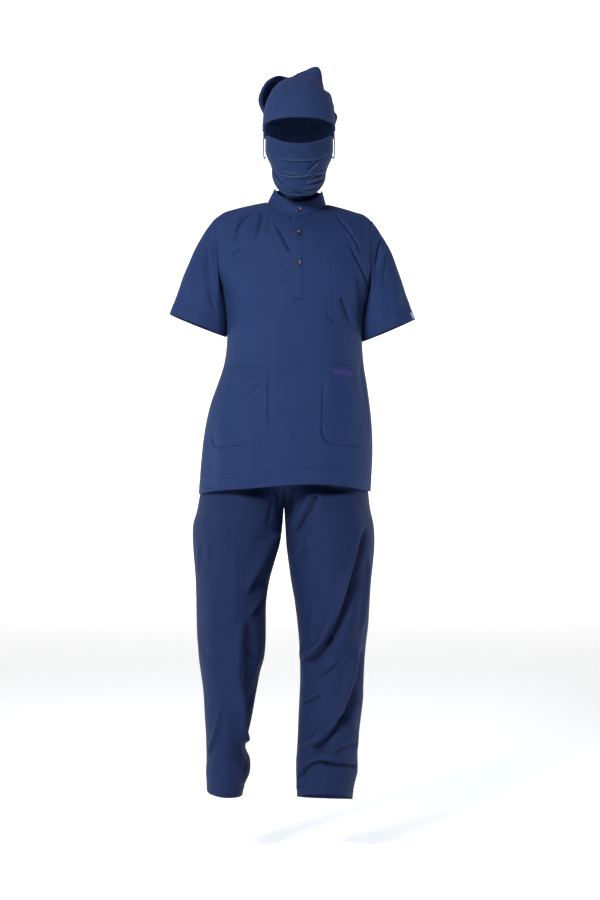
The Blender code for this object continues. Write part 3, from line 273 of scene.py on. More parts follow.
BACK_CREASES = crease_table(
    (92, -34, 128, -76, 141, -118, 7.6, -5.5, 0.3, 0.12, 0.45),
    (-96, -30, -138, -72, -152, -116, 7.6, -5.7, -0.3, 0.12, 0.45),
    (-154, -118, -112, -172, -52, -206, 11, -6, 0.3, 0.12, 0.45),
    (-158, -170, -128, -216, -84, -250, 9.3, -5.2, 0.2, 0.12, 0.5),
    (142, -112, 98, -168, 44, -198, 11, -6, -0.3, 0.12, 0.45),
    (146, -168, 116, -208, 78, -236, 9.3, -4.9, -0.2, 0.12, 0.5),
    (-40, -90, -30, -160, -34, -240, 17, 4.4, 0, 0.4, 0.45, 0.2),
    (34, -100, 28, -170, 34, -250, 18.7, 3.9, 0, 0.4, 0.45, 0.2),
    (-140, -318, -78, -352, 6, -356, 12.7, -6.5, 0.3, 0.2, 0.45),
    (128, -332, 66, -372, -16, -384, 12.7, -6.2, -0.3, 0.2, 0.45),
    (-120, -372, -60, -396, 20, -398, 11, 5.2, 0, 0.3, 0.45),
    (-128, -430, -116, -520, -130, -630, 16.1, 7.2, 0.3, 0.4, 0.03),
    (-60, -450, -50, -540, -58, -632, 17.9, -6, 0, 0.4, 0.03),
    (46, -446, 66, -535, 60, -632, 17.9, 6.8, -0.3, 0.4, 0.03),
    (112, -480, 120, -550, 118, -632, 13.6, -5.2, 0, 0.4, 0.03),
    (0, -500, 4, -570, 0, -634, 15.3, -3.9, 0, 0.45, 0.03),
)


# ---- numbers -----------------------------------------------------------------------------
def smooth_curve(xs: Sequence[float], ys: Sequence[float], at: Any) -> Array:
    """A smooth curve through points.

    Args:
        xs: Rising places of the points.
        ys: Their values.
        at: Where to read the curve.

    Returns:
        The curve's values at those places, level beyond its ends.
    """
    xs = np.asarray(xs, float)
    ys = np.asarray(ys, float)
    at = np.clip(at, xs[0], xs[-1])
    slopes = np.gradient(ys, xs)
    left = np.clip(np.searchsorted(xs, at, side="right") - 1, 0, len(xs) - 2)
    span = xs[left + 1] - xs[left]
    f = (at - xs[left]) / span
    return ((2 * f**3 - 3 * f**2 + 1) * ys[left] + (f**3 - 2 * f**2 + f) * span * slopes[left]
            + (3 * f**2 - 2 * f**3) * ys[left + 1] + (f**3 - f**2) * span * slopes[left + 1])


def column(rows: Sequence[Any], name: str, at: Any, key: str = "height") -> Array:
    """One named column of a table.

    Args:
        rows: The table.
        name: The column to read.
        at: Places of the key column.
        key: The key column's name.

    Returns:
        Smooth values of the column.
    """
    ordered = sorted(rows, key=lambda row: getattr(row, key))
    return smooth_curve([getattr(row, key) for row in ordered],
                        [getattr(row, name) for row in ordered], at)


def ease(t: Any) -> Array:
    """A smooth step from 0 to 1."""
    t = np.clip(t, 0.0, 1.0)
    return t * t * (3 - 2 * t)


def bump(t: Any) -> Array:
    """A smooth hump of height 1 at 0."""
    return np.exp(-np.square(t))


def dome(u: Any, squareness: float) -> Array:
    """Height of a unit superellipse at u from its middle."""
    return (1 - np.minimum(np.abs(u), 1.0) ** squareness) ** (1 / squareness)


def shares(steps: int, marks: Sequence[float] = (), spread: float = 0.0) -> Array:
    """Even shares from 0 to 1 with close rows at some marks.

    Args:
        steps: Number of even steps.
        marks: Shares that get a row of their own and one on each side.
        spread: How far from a mark its side rows lie.

    Returns:
        The rising shares.
    """
    even = np.linspace(0, 1, steps + 1)
    for mark in marks:
        even = even[np.abs(even - mark) > 1.6 * spread]
        even = np.concatenate([even, [mark - spread, mark, mark + spread]])
    even = np.concatenate([[0.0], even[(even > 0) & (even < 1)], [1.0]])
    return np.unique(even)


def nearest(values: Array, mark: float) -> int:
    """Place of the value nearest to a mark."""
    return int(np.abs(values - mark).argmin())


def passed(points: Array) -> Array:
    """Distance along a line of points from its first one."""
    return np.concatenate([[0], np.cumsum(np.linalg.norm(np.diff(points, axis=0), axis=1))])


def xyz(x: Any, y: Any, z: Any) -> Array:
    """Points from their coordinates."""
    return np.stack([x, y, z], axis=-1)


def keep_own_side(points: Array, facing: Facing) -> None:
    """Moves points that cross the middle plane back to the front or the back."""
    points[..., 1] = facing * np.maximum(facing * points[..., 1], HALF_SEAM)


def section(rows: Sequence[Any], z: Any,
            edges: tuple[str, str] = ("left", "right")) -> tuple[Array, Array]:
    """Middle and half width of a table's section at a height."""
    first, last = (column(rows, edge, z) for edge in edges)
    return (first + last) / 2, (last - first) / 2


def unit(vectors: Array) -> Array:
    """Vectors at length 1."""
    return vectors / np.maximum(np.linalg.norm(vectors, axis=-1, keepdims=True), 1e-12)


def crease_relief(creases: Sequence[Crease], x: Array, z: Array) -> Array:
    """How far a table of creases moves the cloth out.

    Args:
        creases: The table.
        x: Places across the garment.
        z: Heights, in the same shape.

    Returns:
        Relief in metres in that shape.
    """
    steps = np.linspace(0, 1, 15)
    relief = np.zeros(x.shape)
    for crease in creases:
        ends = np.array([[crease.x0, crease.z0], [crease.x2, crease.z2]])
        control = 2 * np.array([crease.x1, crease.z1]) - ends.mean(axis=0)
        path = (np.outer((1 - steps)**2, ends[0]) + np.outer(2 * steps * (1 - steps), control)
                + np.outer(steps**2, ends[1]))
        reach = 3.2 * crease.width * (1 + abs(crease.lean))
        near = ((x > path[:, 0].min() - reach) & (x < path[:, 0].max() + reach)
                & (z > path[:, 1].min() - reach) & (z < path[:, 1].max() + reach))
        if near.any():
            relief[near] += one_crease(crease, path, x[near], z[near])
    return relief


def one_crease(crease: Crease, path: Array, x: Array, z: Array) -> Array:
    """Relief of one crease.

    Args:
        crease: The crease.
        path: Points along it.
        x: Places across, one row.
        z: Heights, one row.

    Returns:
        Relief at those places.
    """
    place = np.stack([x, z], axis=-1)[:, None, :]
    way = np.diff(path, axis=0)
    length = np.linalg.norm(way, axis=1)
    from_start = place - path[None, :-1]
    along = np.clip((from_start * way).sum(axis=-1) / length**2, 0, 1)
    gap = from_start - along[..., None] * way
    far = np.linalg.norm(gap, axis=-1)
    best = far.argmin(axis=1)
    pick = np.arange(len(x))
    gap, along, far = gap[pick, best], along[pick, best], far[pick, best]
    side = way[best, 0] * gap[:, 1] - way[best, 1] * gap[:, 0]
    before = passed(path)
    share = (before[best] + along * length[best]) / before[-1]
    fade = ease(share / crease.start) * ease((1 - share) / crease.end)
    width = crease.width * np.where(side < 0, 1 + crease.lean, 1 - crease.lean)
    t = far / (width * (0.55 + 0.45 * fade))
    profile = crease.depth * (bump(t) + crease.swing * (bump(t) - bump(t / 2)))
    step = crease.fall * STEP_PEAK / 2 * np.sign(side) * t * bump(t)
    return (profile + step) * fade


@dataclass(frozen=True)
class Ripple:
    """Soft, uneven waves of slack cloth.

    Attributes:
        seed: Seed of their directions and phases.
        height: Height of the longest waves.
        shortest: Shortest wave length.
        longest: Longest wave length.
        upright: How much longer the waves are up the cloth than across it.
        count: Number of waves.
    """
    seed: int
    height: float
    shortest: float = 0.03
    longest: float = 0.11
    upright: float = 1.6
    count: int = 26

    def relief(self, across: Array, up: Array) -> Array:
        """Relief at places across and up the cloth, in metres.

        Args:
            across: Places across.
            up: Places up.

        Returns:
            Relief in metres.
        """
        draw = np.random.default_rng(self.seed)
        total = np.zeros(np.broadcast(across, up).shape)
        for _ in range(self.count):
            size = self.shortest * (self.longest / self.shortest) ** draw.random()
            turn = draw.uniform(0, pi)
            bend = draw.uniform(0, tau)
            phase = draw.uniform(0, tau)
            path = (across * cos(turn) + up * sin(turn) / self.upright
                    + 0.22 * size * np.sin(tau * (up * cos(turn) - across * sin(turn)) / (2.3 * size)
                                           + bend))
            total += size / self.longest * np.sin(tau * path / size + phase)
        return self.height * total / sqrt(self.count / 2)


def hem_relief(distance: Array, along: Array, depth: float, seed: float = 0.0) -> Array:
    """Relief of a turned and stitched hem: a sunk stitch line with small puckers.

    Args:
        distance: Distance from the hem's edge.
        along: Length along the hem.
        depth: How deep the hem is turned.
        seed: Shifts the puckers.

    Returns:
        Relief in metres.
    """
    stitch = bump((distance - depth) / 0.0016)
    pucker = np.sin(tau * along / 0.0135 + 2.1 * np.sin(along / 0.027 + seed))
    near = bump((distance - depth) / 0.0085) * (distance < depth + 0.02)
    inside = ease((depth - distance) / 0.002) * 0.00035
    return inside - 0.0007 * stitch + 0.00022 * pucker * near


# ---- grids and meshes --------------------------------------------------------------------
class Seat(Enum):
    """Which side of a grid's surface is the outer side of the cloth."""
    OUT = 1
    FLIPPED = -1


@dataclass
class ClothGrid:
    """Rows of points on the outer face of a cloth piece.

    Attributes:
        points: Array of rows, columns and xyz.
        closed: Whether each row is a ring.
        seat: Which way is out.
        pole: Whether the last row closes over its middle.
    """
    points: Array
    closed: bool = False
    seat: Seat = Seat.OUT
    pole: bool = False

    def normals(self) -> Array:
        """Outward normals at every point.

        Returns:
            Vectors of length 1, as rows and columns.
        """
        points = self.points
        if self.closed:
            across = np.roll(points, -1, axis=1) - np.roll(points, 1, axis=1)
        else:
            across = np.gradient(points, axis=1)
        up = np.gradient(points, axis=0)
        return unit(np.cross(across, up)) * self.seat.value

    def moved(self, out: Array | float) -> "ClothGrid":
        """The grid with its points moved out along their normals."""
        amount = np.broadcast_to(out, self.points.shape[:2])[..., None]
        return ClothGrid(self.points + self.normals() * amount, self.closed, self.seat, self.pole)

    def lengths(self) -> tuple[Array, Array]:
        """Distance across from the first column and up from the first row.

        Returns:
            Both distances at every point.
        """
        step = np.linalg.norm(np.diff(self.points, axis=1), axis=-1)
        across = np.concatenate([np.zeros((len(step), 1)), np.cumsum(step, axis=1)], axis=1)
        rise = np.linalg.norm(np.diff(self.points, axis=0), axis=-1)
        up = np.concatenate([np.zeros((1, rise.shape[1])), np.cumsum(rise, axis=0)], axis=0)
        return across, up

    def flat(self) -> tuple[float, float, float]:
        """Width, length and area of the cloth laid flat.

        Returns:
            The three, in metres and square metres.
        """
        ring = np.concatenate([self.points, self.points[:, :1]], axis=1) if self.closed else self.points
        across = np.linalg.norm(np.diff(ring, axis=1), axis=-1)
        up = np.linalg.norm(np.diff(ring, axis=0), axis=-1)
        a = ring[1:, 1:] - ring[:-1, :-1]
        b = ring[1:, :-1] - ring[:-1, 1:]
        area = float(np.linalg.norm(np.cross(a, b), axis=-1).sum() / 2)
        return float(across.sum(axis=1).max()), float(up.sum(axis=0).max()), area

    def faces(self, offset: int = 0, inward: bool = False) -> list[tuple[int, ...]]:
        """Faces over the grid, counted from a first vertex.

        Args:
            offset: The first vertex.
            inward: Turns the faces inward.

        Returns:
            Vertices of each face.
        """
        rows, columns = self.points.shape[:2]
        turned = (self.seat is Seat.FLIPPED) != inward
        found = []
        for row in range(rows - 1):
            for step in range(columns if self.closed else columns - 1):
                after = (step + 1) % columns
                face = (row * columns + step, row * columns + after,
                        (row + 1) * columns + after, (row + 1) * columns + step)
                found.append(tuple(offset + i for i in (face[::-1] if turned else face)))
        return found

    def rim(self) -> list[int]:
        """Border vertices of an open grid in order, or of a ring's first and last rows.

        Returns:
            Places of the vertices.
        """
        rows, columns = self.points.shape[:2]
        last = (rows - 1) * columns
        return ([*range(columns)] + [r * columns + columns - 1 for r in range(1, rows - 1)]
                + [*range(last + columns - 1, last - 1, -1)]
                + [r * columns for r in range(rows - 2, 0, -1)])


def shell_mesh(name: str, outer: ClothGrid, inner: ClothGrid) -> bpy.types.Mesh:
    """A closed cloth wall between two grids of the same size, with its weave coordinates.

    Args:
        name: Name of the mesh.
        outer: The outer face.
        inner: The inner face.

    Returns:
        The mesh.
    """
    rows, columns = outer.points.shape[:2]
    count = rows * columns
    vertices = np.concatenate([outer.points.reshape(-1, 3), inner.points.reshape(-1, 3)])
    faces = outer.faces() + outer.faces(count, inward=True)
    across, up = outer.lengths()
    weave = np.stack([across - across.mean(axis=1, keepdims=True), up], axis=-1).reshape(-1, 2)
    weave = np.concatenate([weave, weave])
    turned = outer.seat is Seat.FLIPPED
    if outer.closed:
        loops = [range(columns)] if outer.pole else [range(columns), range(count - columns, count)]
        for number, ring in enumerate(loops):
            ring = list(ring)
            for a, b in zip(ring, ring[1:] + ring[:1]):
                face = (a, a + count, b + count, b)
                faces.append(face if (number == 0) != turned else face[::-1])
    else:
        ring = outer.rim()
        for a, b in zip(ring, ring[1:] + ring[:1]):
            face = (a, a + count, b + count, b)
            faces.append(face[::-1] if turned else face)
    if outer.pole:
        for grid, start, inward in ((outer, 0, False), (inner, count, True)):
            tip = len(vertices)
            vertices = np.concatenate([vertices, [grid.points[-1].mean(axis=0)]])
            weave = np.concatenate([weave, [weave[count - 1]]])
            last = start + count - columns
            for step in range(columns):
                face = (last + step, last + (step + 1) % columns, tip)
                faces.append(face[::-1] if turned != inward else face)
    mesh = bpy.data.meshes.new(name)
    mesh.from_pydata(vertices.tolist(), [], faces)
    layer = mesh.uv_layers.new(name="weave")
    order = np.zeros(len(mesh.loops), np.int32)
    mesh.loops.foreach_get("vertex_index", order)
    layer.data.foreach_set("uv", weave[order].astype(np.float32).ravel())
    mesh.shade_smooth()
    return mesh


# ---- shaders -----------------------------------------------------------------------------
class Signal:
    """A shader value on which Python arithmetic adds Math nodes."""

    def __init__(self, graph: "Graph", socket: bpy.types.NodeSocket) -> None:
        """Wraps a socket of a graph."""
        self.graph = graph
        self.socket = socket

    def _math(self, operation: str, *values: Any) -> "Signal":
        """A Math node's result on this and other values."""
        node = self.graph.node("ShaderNodeMath", {"operation": operation}, dict(enumerate(values)))
        return Signal(self.graph, node.outputs[0])

    def __add__(self, other: Any) -> "Signal":
        """Sum."""
        return self._math("ADD", self, other)

    __radd__ = __add__

    def __mul__(self, other: Any) -> "Signal":
        """Product."""
        return self._math("MULTIPLY", self, other)

    __rmul__ = __mul__

    def __sub__(self, other: Any) -> "Signal":
        """Difference."""
        return self._math("SUBTRACT", self, other)

    def __rsub__(self, other: Any) -> "Signal":
        """Difference from another value."""
        return self._math("SUBTRACT", other, self)

    def sine(self) -> "Signal":
        """Sine."""
        return self._math("SINE", self)

    def between(self, low: float, high: float) -> "Signal":
        """0 at low, 1 at high, clamped and eased."""
        node = self.graph.node("ShaderNodeMapRange", {"interpolation_type": "SMOOTHSTEP"},
                               {0: self, 1: low, 2: high, 3: 0.0, 4: 1.0})
        return Signal(self.graph, node.outputs[0])


class Graph:
    """The node tree of one material."""

    def __init__(self, name: str) -> None:
        """Starts a material with its Principled shader.

        Args:
            name: The material's name.
        """
        self.material = bpy.data.materials.new(name)
        self.material.use_nodes = True
        self.tree = self.material.node_tree
        self.shader = self.tree.nodes["Principled BSDF"]

    def node(self, kind: str, settings: dict[str, Any], sockets: dict[Any, Any]) -> bpy.types.Node:
        """Adds a node.

        Args:
            kind: Its type.
            settings: Its properties, set first.
            sockets: Values or links of its inputs, by name or place.

        Returns:
            The node.
        """
        node = self.tree.nodes.new(kind)
        for name, value in settings.items():
            setattr(node, name, value)
        for place, value in sockets.items():
            self.feed(node.inputs[place], value)
        return node

    def dress(self, **inputs: Any) -> bpy.types.Material:
        """Feeds the shader's inputs, named with _ for a space, and gives the material."""
        for name, value in inputs.items():
            self.feed(self.shader.inputs[name.replace("_", " ")], value)
        return self.material

    def place(self) -> bpy.types.NodeSocket:
        """Place on the object."""
        return self.node("ShaderNodeTexCoord", {}, {}).outputs["Object"]

    def feed(self, target: bpy.types.NodeSocket, value: Any) -> None:
        """Sets an input to a value, a socket or a signal.

        Args:
            target: The input.
            value: What it gets.
        """
        if isinstance(value, Signal):
            value = value.socket
        if isinstance(value, bpy.types.NodeSocket):
            self.tree.links.new(value, target)
        else:
            target.default_value = value

    def noise(self, place: Any, scale: float, detail: float = 2.0) -> Signal:
        """Noise of a scale at a place."""
        node = self.node("ShaderNodeTexNoise", {"noise_dimensions": "3D"},
                         {"Vector": place, "Scale": scale, "Detail": detail})
        return Signal(self, node.outputs["Fac"])

    def blend(self, share: Any, low: Any, high: Any) -> bpy.types.NodeSocket:
        """A colour between two."""
        node = self.node("ShaderNodeMix", {"data_type": "RGBA"}, {0: share, 6: low, 7: high})
        return node.outputs[2]

    def relief(self, height: Signal, distance: float, strength: float = 1.0,
               below: Any = None) -> bpy.types.NodeSocket:
        """A bump over a height, on another bump where one is given.

        Args:
            height: The height.
            distance: How far height 1 stands out.
            strength: Strength.
            below: The other bump's normal.

        Returns:
            The normal.
        """
        sockets = {"Height": height, "Distance": distance, "Strength": strength}
        if below is not None:
            sockets["Normal"] = below
        return self.node("ShaderNodeBump", {}, sockets).outputs[0]


def darker(colour: Colour, share: float) -> Colour:
    """A colour at a share of its brightness."""
    return *(share * part for part in colour[:3]), 1.0


@dataclass(frozen=True)
class Finish:
    """A surface finish."""
    name: str

    def material(self) -> bpy.types.Material:
        """Its material, made once."""
        return bpy.data.materials.get(self.name) or self.build(Graph(self.name))

    def build(self, graph: Graph) -> bpy.types.Material:
        """Fills a material's graph, each kind of finish in its own way."""
        raise NotImplementedError


@dataclass(frozen=True)
class ClothFinish(Finish):
    """Woven cloth: a fine twill with soft mottling, a painted highlight on ridges and painted shade in
    creases.

    Attributes:
        base: Its colour.
        deep: Its colour where the mottling is darker; a dimmed share of it is the painted shade in
            creases.
        pale: Its painted highlight colour, laid on ridges.
        roughness: Roughness.
        sheen: Sheen weight.
        twill: Width of a twill rib.
    """
    base: Colour
    deep: Colour
    pale: Colour
    roughness: float = 0.74
    sheen: float = 0.02
    twill: float = 0.0011

    def build(self, graph: Graph) -> bpy.types.Material:
        """Fills a material's graph.

        Args:
            graph: The new material's graph.

        Returns:
            The material.
        """
        place = graph.place()
        weave = graph.node("ShaderNodeUVMap", {"uv_map": "weave"}, {}).outputs[0]
        split = graph.node("ShaderNodeSeparateXYZ", {}, {0: weave})
        across = Signal(graph, split.outputs[0])
        up = Signal(graph, split.outputs[1])
        rib = ((across + up) * (tau / self.twill)).sine()
        thread = (across * (tau * 1.9 / self.twill)).sine() * (up * (tau * 1.9 / self.twill)).sine()
        mottle = graph.noise(place, 9.0, 3.0)
        fleck = graph.noise(place, 420.0, 2.0)
        slub = graph.noise(place, 60.0, 4.0)
        edge = Signal(graph, graph.node("ShaderNodeNewGeometry", {}, {}).outputs["Pointiness"])
        painted_ridge_highlight = edge.between(0.505, 0.560)
        painted_crease_shade = edge.between(0.495, 0.440)
        colour = graph.blend(mottle.between(0.30, 0.72) * 0.5 + fleck * 0.16, self.base, self.deep)
        # Painted highlight: ridges found by pointiness are blended towards the pale colour.
        colour = graph.blend(painted_ridge_highlight * 0.20, colour, self.pale)
        # Painted shade: hollows and creases found by pointiness are darkened towards a third of the deep
        # colour.
        colour = graph.blend(painted_crease_shade * 0.80, colour, darker(self.deep, 0.35))
        weave_bump = graph.relief(rib * 0.6 + thread * 0.4, 0.00006, 0.30)
        return graph.dress(Base_Color=colour,
                           Roughness=self.roughness + (slub - 0.5) * 0.16 + rib * 0.02,
                           Normal=graph.relief(slub, 0.0009, 0.35, weave_bump),
                           Sheen_Weight=self.sheen, Sheen_Roughness=0.45,
                           Sheen_Tint=(0.45, 0.62, 1.0, 1.0), Specular_IOR_Level=0.12)


@dataclass(frozen=True)
class ThreadFinish(Finish):
    """Twisted sewing thread."""
    colour: Colour

    def build(self, graph: Graph) -> bpy.types.Material:
        """Fills a material's graph.

        Args:
            graph: The new material's graph.

        Returns:
            The material.
        """
        place = graph.place()
        fuzz = graph.noise(place, 900.0, 2.0)
        return graph.dress(Base_Color=graph.blend(fuzz, darker(self.colour, 0.7), self.colour),
                           Roughness=0.75, Specular_IOR_Level=0.12)


@dataclass(frozen=True)
class ResinFinish(Finish):
    """Polished button resin with a faint pearly cloud."""
    colour: Colour
    cloud: Colour

    def build(self, graph: Graph) -> bpy.types.Material:
        """Fills a material's graph.

        Args:
            graph: The new material's graph.

        Returns:
            The material.
        """
        place = graph.place()
        swirl = graph.noise(place, 260.0, 3.0).between(0.42, 0.68)
        scuff = graph.noise(place, 1500.0, 2.0)
        return graph.dress(Base_Color=graph.blend(swirl, self.colour, self.cloud),
                           Roughness=0.30 + scuff * 0.16, Coat_Weight=0.15, Coat_Roughness=0.20)


# The third colour of each cloth finish is its painted highlight on ridges; its second also gives the
# painted shade in creases.
NAVY = ClothFinish("navy_twill", (0.0120, 0.0272, 0.0925, 1), (0.0105, 0.0240, 0.0840, 1),
                   (0.0210, 0.0410, 0.1220, 1))
TROUSER_NAVY = ClothFinish("trouser_twill", (0.0084, 0.0178, 0.0640, 1),
                           (0.0070, 0.0150, 0.0555, 1), (0.0200, 0.0385, 0.1120, 1))
TAPE = ClothFinish("violet_tape", (0.026, 0.030, 0.125, 1), (0.022, 0.025, 0.110, 1),
                   (0.050, 0.055, 0.190, 1), 0.60, 0.02, 0.0006)
PALE_TAPE = ClothFinish("lavender_tape", (0.300, 0.330, 0.560, 1), (0.260, 0.290, 0.500, 1),
                        (0.420, 0.450, 0.700, 1), 0.60, 0.02, 0.0006)
THREAD = ThreadFinish("navy_thread", (0.0110, 0.0250, 0.0820, 1))
ELASTIC = ClothFinish("navy_elastic", (0.0190, 0.0330, 0.1000, 1), (0.0140, 0.0250, 0.0800, 1),
                      (0.0330, 0.0520, 0.1400, 1), 0.85, 0.30, 0.0008)
RESIN = ResinFinish("plum_resin", (0.0110, 0.0090, 0.0300, 1), (0.0500, 0.0340, 0.1100, 1))


# ---- pieces ------------------------------------------------------------------------------
class Held(Enum):
    """How a cloth piece is held."""
    HUNG = "hung"
    GATHERED = "gathered"
    FOLDED = "folded"
    STRETCHED = "stretched"
    LAID = "laid"


def placed(name: str, data: Any) -> bpy.types.Object:
    """An object of some data in the scene.

    Args:
        name: The object's name.
        data: Its mesh, lamp or camera.

    Returns:
        The object.
    """
    thing = bpy.data.objects.new(name, data)
    bpy.context.scene.collection.objects.link(thing)
    return thing


def place_piece(name: str, mesh: bpy.types.Mesh, finish: Finish,
                node: str = "") -> bpy.types.Object:
    """Adds a piece that rides on the garment's one body.

    Args:
        name: The piece's name.
        mesh: Its mesh.
        finish: Its finish.
        node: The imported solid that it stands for.

    Returns:
        The object.
    """
    piece = placed(name, mesh)
    mesh.materials.append(finish.material())
    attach(piece, "root")
    if node:
        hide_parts(node)
    LOG.info("%s: %d vertices", name, len(mesh.vertices))
    return piece


def place_cloth(node: str, outer: ClothGrid, finish: Finish,
                cut: ClothGrid, wall: float = WALL,
                inner: ClothGrid | None = None) -> bpy.types.Object:
    """Args:
        node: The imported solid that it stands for.
        outer: Its outer face.
        finish: Its finish.
        cut: The smooth surface that it is cut for.
        wall: Its wall.
        inner: Its inner face, where it isn't the outer one moved in.

    Returns:
        The object.
    """
    name = node + "_cloth"
    mesh = shell_mesh(name, outer, inner or outer.moved(-wall))
    piece = place_piece(name, mesh, finish, node)
    width, length, area = cut.flat()
    LOG.info("%s: cut %.3f by %.3f m, %.4f m2", name, width, length, area)
    return piece


@dataclass
class StitchBook:
    """Topstitching, gathered as many small stitches and then made as one piece.

    Attributes:
        name: Name of the piece.
        length: Length of a stitch.
        pitch: Distance from one stitch to the next.
        radius: Half the thread's width.
    """
    name: str
    length: float = 0.0024
    pitch: float = 0.0031
    radius: float = 0.00027
    _vertices: list[Array] = field(default_factory=list)

    def run(self, seam: Array, normals: Array) -> None:
        """Lays stitches along a line on the cloth.

        Args:
            seam: Points along it.
            normals: The cloth's outward normals there.
        """
        far = passed(seam)
        for middle in np.arange(self.pitch / 2, far[-1] - self.pitch / 4, self.pitch):
            at = np.array([middle - self.length / 2, middle, middle + self.length / 2])
            spots = xyz(*(np.interp(at, far, seam[:, axis]) for axis in range(3)))
            out = unit(xyz(*(np.interp(middle, far, normals[:, axis]) for axis in range(3))))
            self.lay(spots, out)

    def along(self, grid: ClothGrid, *tracks: Any) -> None:
        """Lays stitches along tracks of a grid's points.

        Args:
            grid: The grid.
            tracks: Rows and columns of each track.
        """
        normals = grid.normals()
        for track in tracks:
            self.run(grid.points[track], normals[track])

    def lay(self, spots: Array, out: Array) -> None:
        """Adds one stitch.

        Args:
            spots: Its start, middle and end.
            out: The cloth's outward normal.
        """
        side = np.cross(out, unit(spots[2] - spots[0])) * self.radius
        lift = out * self.radius
        start, middle, end = spots + lift * 0.1
        rings = []
        for spot, size in ((start + (middle - start) * 0.3, 0.8), (middle + lift * 0.5, 1.0),
                           (end + (middle - end) * 0.3, 0.8)):
            rings.append([spot + side * size, spot + lift * size, spot - side * size,
                          spot - lift * size])
        self._vertices.append(np.array([start - lift * 0.8, *rings[0], *rings[1], *rings[2],
                                        end - lift * 0.8]))

    def make(self) -> bpy.types.Object:
        """Makes the piece.


        Returns:
            The object.
        """
        faces = []
        for number in range(len(self._vertices)):
            base = number * 14
            for step in range(4):
                after = (step + 1) % 4
                faces.append((base, base + 1 + after, base + 1 + step))
                for ring in (1, 5):
                    faces.append((base + ring + step, base + ring + after,
                                  base + ring + 4 + after, base + ring + 4 + step))
                faces.append((base + 13, base + 9 + step, base + 9 + after))
        mesh = bpy.data.meshes.new(self.name)
        mesh.from_pydata(np.concatenate(self._vertices).tolist(), [], faces)
        mesh.shade_smooth()
        return place_piece(self.name, mesh, THREAD)


# ---- tunic -------------------------------------------------------------------------------
@dataclass(frozen=True)
class TunicForm:
    """One side of the tunic's surface.

    Attributes:
        facing: Front or back.
        squareness: How square its section is.
        creases: Its creases.
        ripple: Its slack.
        shoulder_steps: Columns across one shoulder.
        neck_steps: Columns across the neck hole.
        lower_rows: Rows from the hem to the underarm.
        upper_rows: Rows from there to the top.
    """
    facing: Facing
    squareness: float
    creases: tuple[Crease, ...]
    ripple: Ripple
    shoulder_steps: int
    neck_steps: int
    lower_rows: int
    upper_rows: int

    def top(self, x: Array) -> Array:
        """Height at x where the section closes; the back climbs behind the neck.

        Args:
            x: Places across.

        Returns:
            Heights.
        """
        top = column(SHOULDER_LINE, "height", x, key="across")
        if self.facing is Facing.BACK:
            u = np.clip((x - NECK_CENTRE) / NECK_HALF_WIDTH, -1, 1)
            top = top + NAPE_RISE * (1 - u * u) ** NAPE_SHAPE
        return top

    def depth(self, x: Array, z: Array) -> Array:
        """The y of the smooth surface at x, z.

        Args:
            x: Places across.
            z: Heights.

        Returns:
            Its y.
        """
        centre, half = section(TORSO_ROWS, z)
        spread = 1 + ARMHOLE_SPREAD * ease((z - UNDERARM) / ARMHOLE_RISE)
        u = (x - centre) / (half * spread)
        deep = column(TORSO_ROWS, self.facing.word, z)
        drop = np.clip((self.top(x) - z) / SHOULDER_ROUNDING, 0, 1)
        return self.facing * deep * dome(u, self.squareness) * (1 - (1 - drop)**2)**SHOULDER_SHAPE

    def relief(self, x: Array, z: Array) -> Array:
        """Creases and slack at x, z, calm at the side seams.

        Args:
            x: Places across.
            z: Heights.

        Returns:
            Relief in metres.
        """
        centre, half = section(TORSO_ROWS, z)
        slack = self.ripple.relief(x, z) * ease((self.top(x) - z) / 0.05)
        return (crease_relief(self.creases, x, z) + slack) * ease((half - np.abs(x - centre)) / 0.010)

    def place(self, x: Array, z: Array, lift: Array | float) -> tuple[Array, Array]:
        """Points on the creased cloth and the smooth surface's normals.

        Args:
            x: Places across.
            z: Heights.
            lift: How far above the panel's section they lie.

        Returns:
            Points and normals.
        """
        y = self.depth(x, z)
        slope_x = (self.depth(x + PROBE, z) - self.depth(x - PROBE, z)) / (2 * PROBE)
        slope_z = (self.depth(x, z + PROBE) - self.depth(x, z - PROBE)) / (2 * PROBE)
        normal = unit(xyz(-self.facing * slope_x, np.full_like(y, self.facing), -self.facing * slope_z))
        out = np.asarray(lift + self.relief(x, z))
        return xyz(x, y, z) + normal * out[..., None], normal

    def neckline(self, turn: Array) -> Array:
        """Neck hole on this side of the tunic at each turn from the front middle.

        Args:
            turn: Turns.

        Returns:
            Points.
        """
        x = NECK_CENTRE + NECK_HALF_WIDTH * np.sin(turn)
        y = -np.cos(turn) * (NECK_FRONT if self.facing is Facing.FRONT else NECK_BACK)
        top = self.top(x)
        deep = np.abs(self.depth(x, top - SHOULDER_ROUNDING))
        share = np.clip(np.abs(y) / deep, 0, 1) ** (1 / SHOULDER_SHAPE)
        return xyz(x, y, top - SHOULDER_ROUNDING * (1 - np.sqrt(1 - share)))


FRONT = TunicForm(Facing.FRONT, 2.35, FRONT_CREASES, Ripple(11, 0.0006, 0.040, 0.13, 2.2),
                  60, 72, 146, 72)
BACK = TunicForm(Facing.BACK, 2.6, BACK_CREASES, Ripple(23, 0.0012, 0.035, 0.13, 2.0),
                 40, 48, 112, 52)


